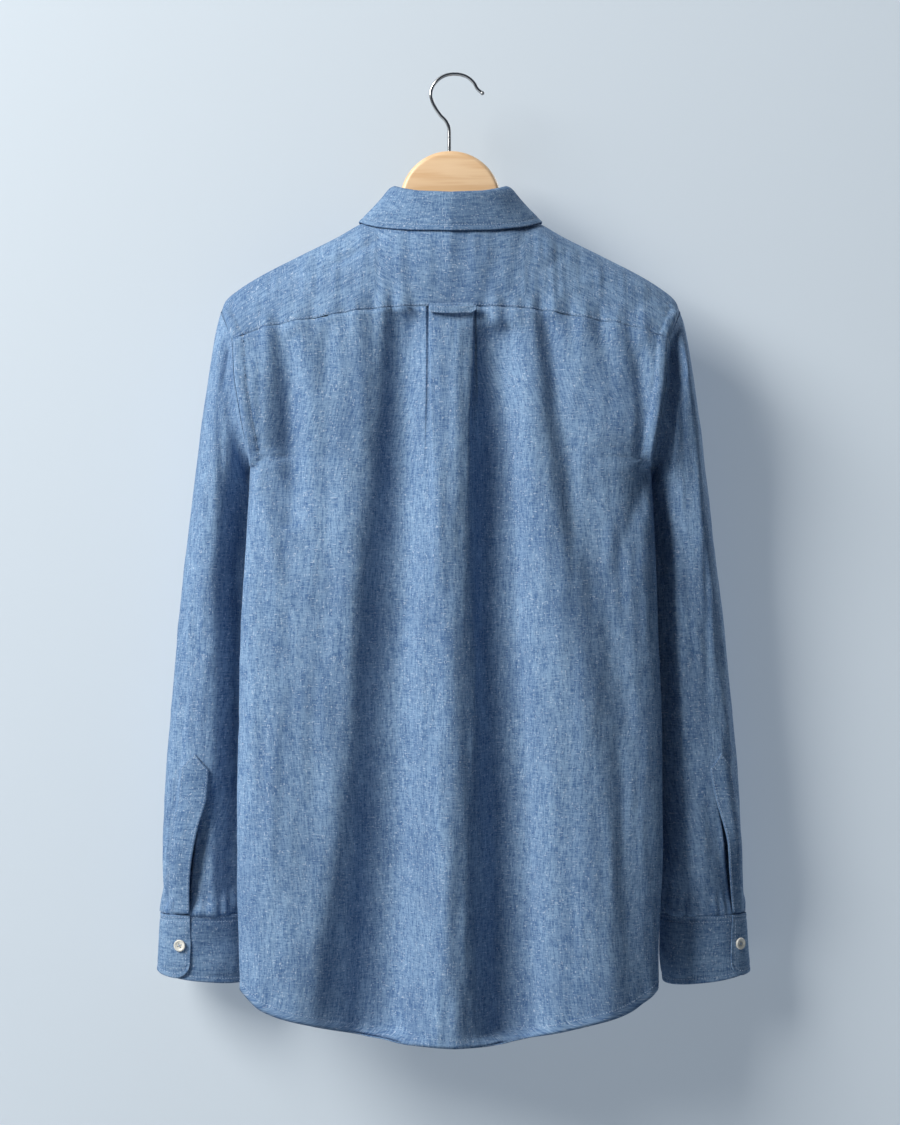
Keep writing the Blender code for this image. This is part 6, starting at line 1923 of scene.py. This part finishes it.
@dataclass(frozen=True)
class ButtonResin:
    """Off-white resin with a soft gloss and a trace of light passing through."""

    name: str
    colour: Colour = srgb(232, 232, 226)
    shade: Colour = srgb(206, 208, 202)

    def build(self) -> bpy.types.Material:
        """The material, slightly clouded."""
        made, board, shader = begin_material(
            self.name, Subsurface_Weight=0.12, Subsurface_Radius=(0.002, 0.0018, 0.0015))
        _, tone = mottle(board, 160.0)
        cloud = board.band(tone.outputs["Slow"], 0.35, 0.75)
        board.put(shader.inputs["Base Color"], board.blend(cloud, self.colour, self.shade))
        rough = board.plus(board.times(tone.outputs["Fine"], 0.08), 0.2)
        board.put(shader.inputs["Roughness"], rough)
        return made


@dataclass(frozen=True)
class SatinWood:
    """Pale sanded hardwood with long grain under a satin lacquer."""

    name: str
    pale: Colour = srgb(243, 214, 178)
    dark: Colour = srgb(222, 182, 138)

    def build(self) -> bpy.types.Material:
        """The material, with its grain running across the shoulders."""
        made, board, shader = begin_material(
            self.name, Roughness=0.48, Coat_Weight=0.35, Coat_Roughness=0.28)
        place, soft = mottle(board, 14.0)
        wide = board.noise(board.stretch(place, (5.0, 60.0, 62.0)), 1.0, 3.0, 0.6)
        fibres = board.noise(board.stretch(place, (38.0, 900.0, 900.0), 3.0), 1.0, 2.0)
        rings = board.band(board.math("PINGPONG", board.times(wide, 4.0), 0.5), 0.05, 0.5)
        tone = board.plus(board.times(rings, 0.55), board.times(fibres, 0.4), clamp=True)
        colour = board.blend(tone, self.pale, self.dark)
        worn = board.times(board.band(soft.outputs["Slow"], 0.4, 0.7), 0.25)
        colour = board.blend(worn, colour, self.dark)
        board.put(shader.inputs["Base Color"], colour)
        set_bump(board, shader, 0.08, 0.0003, fibres)
        return made


@dataclass(frozen=True)
class BrightWire:
    """Chromed steel wire with faint drawing marks."""

    name: str
    colour: Colour = srgb(206, 208, 212)

    def build(self) -> bpy.types.Material:
        """The material, a little rougher and smoother by turns."""
        made, board, shader = begin_material(self.name, Base_Color=self.colour, Metallic=1.0)
        _, marks = mottle(board, 90.0)
        rough = board.plus(board.times(marks.outputs["Fine"], 0.1), 0.13)
        board.put(shader.inputs["Roughness"], rough)
        return made


# ------------------------------------------------------------------------- studio
@dataclass(frozen=True)
class Studio:
    """Pale floor and a wall with a painted glow, soft light from the upper left, and the camera."""

    wall_y: float = 0.07
    floor_z: float = -1.25
    distance: float = 2.55
    aim: Triple = (-0.0041, -0.02, -0.4709)
    wall_tone: Colour = srgb(182, 192, 201)
    # painted light: a glow that only the camera sees, which lightens the shadow cast on the wall
    wall_painted_glow: Colour = srgb(114, 124, 135)
    floor_tone: Colour = srgb(152, 157, 163)

    @staticmethod
    def plane(name: str, corners: list[Triple], material: bpy.types.Material) -> None:
        """One flat stage piece."""
        mesh = bpy.data.meshes.new(name)
        mesh.from_pydata(corners, [], [(0, 1, 2, 3)])
        mesh.materials.append(material)
        add_object(name, mesh)

    def wall_paint(self) -> bpy.types.Material:
        """Matt paint that is clear from behind and to the lamps behind it, with a painted glow that only
        the camera sees, which lightens the shirt's shadow on the wall.
        """
        made, board, shader = begin_material(
            "wall_paint", Base_Color=self.wall_tone, Emission_Color=self.wall_painted_glow, Roughness=0.95,
            Specular_IOR_Level=0.1)
        _, tone = mottle(board, 3.0)
        ray = board.add("ShaderNodeLightPath").outputs
        # painted light: the wall glows for camera rays only, which lifts the shirt's shadow on it
        board.put(shader.inputs["Emission Strength"], ray["Is Camera Ray"])
        set_bump(board, shader, 0.02, 0.001, tone.outputs["Fine"])
        behind = board.add("ShaderNodeNewGeometry").outputs["Backfacing"]
        mixed = board.add("ShaderNodeMixShader")
        clear = board.add("ShaderNodeBsdfTransparent")
        parts = (board.math("MAXIMUM", behind, ray["Is Shadow Ray"]), shader.outputs[0], clear.outputs[0])
        for socket, value in zip(mixed.inputs, parts):
            board.put(socket, value)
        board.put(made.node_tree.nodes["Material Output"].inputs["Surface"], mixed.outputs[0])
        return made

    def floor_paint(self) -> bpy.types.Material:
        """Matt pale floor."""
        return begin_material("floor_paint", Base_Color=self.floor_tone, Roughness=0.9)[0]

    def lamp(self, name: str, place: Triple, size: float, power: float, tint: Colour) -> None:
        """Square soft light that faces the shirt."""
        light = bpy.data.lights.new(name, "AREA")
        light.shape, light.size, light.energy, light.color = "SQUARE", size, power, tint[:3]
        made = add_object(name, light)
        made.location = place
        toward = Vector(self.aim) - Vector(place)
        made.rotation_euler = toward.to_track_quat("-Z", "Y").to_euler()

    def build(self) -> None:
        """Stage, lights, sky and camera."""
        y, z = self.wall_y, self.floor_z
        wall = [(-4.0, y, z), (4.0, y, z), (4.0, y, 3.0), (-4.0, y, 3.0)]
        floor = [(-6.0, -6.0, z), (6.0, -6.0, z), (6.0, 6.0, z), (-6.0, 6.0, z)]
        self.plane("backdrop_wall", wall, self.wall_paint())
        self.plane("floor", floor, self.floor_paint())
        self.lamp("key", (-2.78, -2.16, 1.62), 2.0, 250.0, srgb(255, 250, 242))
        self.lamp("fill", (1.6, -2.6, 0.1), 2.2, 0.6, srgb(232, 241, 255))
        self.lamp("front_key", (2.75, 2.3, 1.3), 1.2, 66.0, srgb(255, 252, 247))
        world = bpy.data.worlds.new("soft_sky")
        world.use_nodes = True
        sky = world.node_tree.nodes["Background"]
        sky.inputs["Color"].default_value = srgb(180, 208, 248)
        sky.inputs["Strength"].default_value = 0.045
        bpy.context.scene.world = world
        bpy.context.scene.view_settings.view_transform = "Standard"
        lens = bpy.data.cameras.new("camera")
        lens.lens, lens.sensor_fit, lens.sensor_height = 85.0, "VERTICAL", 36.0
        camera = add_object("camera", lens)
        camera.location = (self.aim[0], self.aim[1] - self.distance, self.aim[2])
        camera.rotation_euler = (math.pi / 2.0, 0.0, 0.0)
        bpy.context.scene.camera = camera


# ------------------------------------------------------------------------ the shirt
TRIM = "chambray_trim"      # slot name that dress is given for bands and thread
BUTTON_HEIGHTS = (-233.0, -318.0, -403.0, -488.0, -573.0, -658.0)     # below the collar's


@dataclass
class Cloth:
    """One sewn piece ready for the scene."""

    name: str
    patches: list[Patch]
    outward: Outward
    node: str
    seams: list[Array]
    flat: tuple[float, float]
    area: float
    rests_on: str
    wall: float = CLOTH
    held: str = "hung"


def away_from(x: float, y: float, rise: float = 0.0) -> Outward:
    """Outward direction as the way out from an upright line, and up by a rise."""
    return lambda points: stack(points[..., 0] - x, points[..., 1] - y, rise)


def to_side(side: Side) -> Outward:
    """Outward direction that is the same everywhere, to the back or the front."""
    return lambda points: np.broadcast_to(np.array((0.0, float(side.value), 0.0)), points.shape)


def out_of_sleeve(hand: Hand) -> Outward:
    """Way out of a sleeve from its sloping middle line."""
    def outward(points: Array) -> Array:
        """The way out at points."""
        share = np.clip((points[..., 2] + 240.0) / -560.0, 0.0, 1.0)
        middle = hand.value * mix(215.0, 240.0, share)
        return stack(points[..., 0] - middle, points[..., 1] - 18.0, 0.0)
    return outward


@dataclass
class Shirt:
    """The whole shirt with its sewing and buttons."""

    cloth: bpy.types.Material
    trim: bpy.types.Material
    resin: bpy.types.Material
    thread: bpy.types.Material
    collar: Collar = field(default_factory=Collar)
    back: BackPanel = field(default_factory=BackPanel)

    def body_pieces(self) -> list[Cloth]:
        """Yoke, back and the two fronts."""
        yoke, front = Yoke(), to_side(Side.FRONT)
        left, right = Front(Hand.LEFT, FRONT_LAP_RISE), Front(Hand.RIGHT, 0.0)
        return [
            Cloth("back_yoke", yoke.patches(), away_from(0.0, 0.0, 12.0), "yoke",
                  yoke.seam_lines(), (0.46, 0.24), 0.058, "hanger_wood"),
            Cloth("back_body", self.back.patches(), to_side(Side.BACK), "back_panel",
                  self.back.seam_lines(), (0.60, 0.71), 0.35, "back_yoke"),
            Cloth("front_body_left", left.patches(), front, "front_left",
                  left.seam_lines(), (0.30, 0.76), 0.17, "back_yoke"),
            Cloth("front_body_right", right.patches(), front, "front_right",
                  right.seam_lines(), (0.30, 0.76), 0.17, "back_yoke"),
        ]

    def arm_pieces(self) -> list[Cloth]:
        """Sleeves, plackets and cuffs."""
        made = []
        for hand in Hand:
            side, sleeve, cuff = hand.name.lower(), Sleeve(hand), Cuff(hand)
            made += [
                Cloth(f"arm_{side}", sleeve.patches(), out_of_sleeve(hand), f"sleeve_{side}",
                      sleeve.seam_lines(), (0.36, 0.58), 0.14, "back_body"),
                Cloth(f"slit_band_{side}", sleeve.placket_patches(), away_from(hand.value * 240.0, 25.0),
                      f"sleeve_placket_{side}", [], (0.032, 0.165), 0.0042, f"arm_{side}", BAND_CLOTH),
                Cloth(f"wrist_band_{side}", cuff.patches(), away_from(hand.value * 242.0, 25.0),
                      f"cuff_{side}", cuff.seam_lines(), (0.25, 0.065), 0.016, f"arm_{side}", BAND_CLOTH),
            ]
        return made

    def neck_pieces(self) -> list[Cloth]:
        """Collar stand, collar fall and locker loop."""
        loop = LockerLoop()
        return [
            Cloth("neck_stand", self.collar.stand_patches(), away_from(0.0, 0.0), "collar_stand",
                  [], (0.43, 0.035), 0.0115, "back_yoke", BAND_CLOTH),
            Cloth("neck_fall", self.collar.fall_patches(), away_from(0.0, 0.0, 20.0), "collar_fall",
                  self.collar.seam_lines(), (0.46, 0.07), 0.0187, "neck_stand", BAND_CLOTH, "folded"),
            Cloth("hanging_loop", loop.patches(), to_side(Side.BACK), "locker_loop",
                  loop.seam_lines(), (0.055, 0.01), 0.0004, "back_yoke", BAND_CLOTH),
        ]

    def sew_up(self, sewing: Sewing) -> None:
        for part in self.body_pieces() + self.arm_pieces() + self.neck_pieces():
            piece = mesh_object(part.name, part.patches, part.outward)
            add_wall(piece, part.wall)
            paint, slot = (self.trim, TRIM) if part.wall == BAND_CLOTH else (self.cloth, "chambray")
            dress(piece, paint, slot, part.node)
            if part.seams:
                stitches = sewing.sew(f"{part.name}_stitches", part.seams)
                dress(stitches, sewing.thread, TRIM)
            area = sum(face.area for face in piece.data.polygons)
            LOG.info("%s: %.4f m2 of cloth", part.name, area)

    def button_up(self) -> None:
        """The cuffs' and the front's buttons."""
        buttons = []
        for hand in Hand:
            seat, out = Cuff(hand).button_seat()
            buttons.append((f"cuff_button_{hand.name.lower()}", seat, out))
        foot, top, head = (self.collar.stand_point(-180.0, share) for share in (0.0, 0.5, 1.0))
        rise = head - foot
        buttons.append(("front_button_1", top, np.array((0.0, rise[2], -rise[1]))))
        for number, z in enumerate(BUTTON_HEIGHTS, start=2):
            seat = FORM.point(0.0, z, Side.FRONT) + np.array((0.0, FRONT_LAP_RISE, 0.0))
            buttons.append((f"front_button_{number}", seat, FORM.normal(0.0, z, Side.FRONT)))
        for number, (node, seat, out) in enumerate(buttons):
            button = Button(node + "_disc", seat, out, turned=0.35 + 0.21 * number)
            dress(button.disc(), self.resin, "button", node)
            dress(button.thread(), self.thread, TRIM)


def main() -> None:
    """Build the shirt, its hanger and the studio."""
    logging.basicConfig(level=logging.INFO, format="%(message)s")
    body_yarns = (srgb(71, 106, 152), srgb(154, 185, 217), srgb(44, 76, 124))
    trim_yarns = (srgb(69, 103, 147), srgb(148, 179, 211), srgb(42, 74, 120))
    cloth = WovenCotton("chambray", *body_yarns).build()
    trim = WovenCotton("chambray_trim", *trim_yarns, bump=0.25).build()
    thread = Thread("blue_thread", srgb(186, 206, 230), srgb(132, 157, 190)).build()
    resin = ButtonResin("off_white_resin").build()
    wood, wire = SatinWood("satin_wood").build(), BrightWire("chromed_wire").build()
    hanger = Hanger()
    dress(hanger.wood(), wood, "hanger_wood", "hanger_body")
    dress(hanger.hook(), wire, "hook_wire", "hanger_hook")
    dress(hanger.tip(), wire, "hook_wire")
    shirt = Shirt(cloth, trim, resin, thread)
    shirt.sew_up(Sewing(thread))
    shirt.button_up()
    Studio().build()


if __name__ == "__main__":
    main()
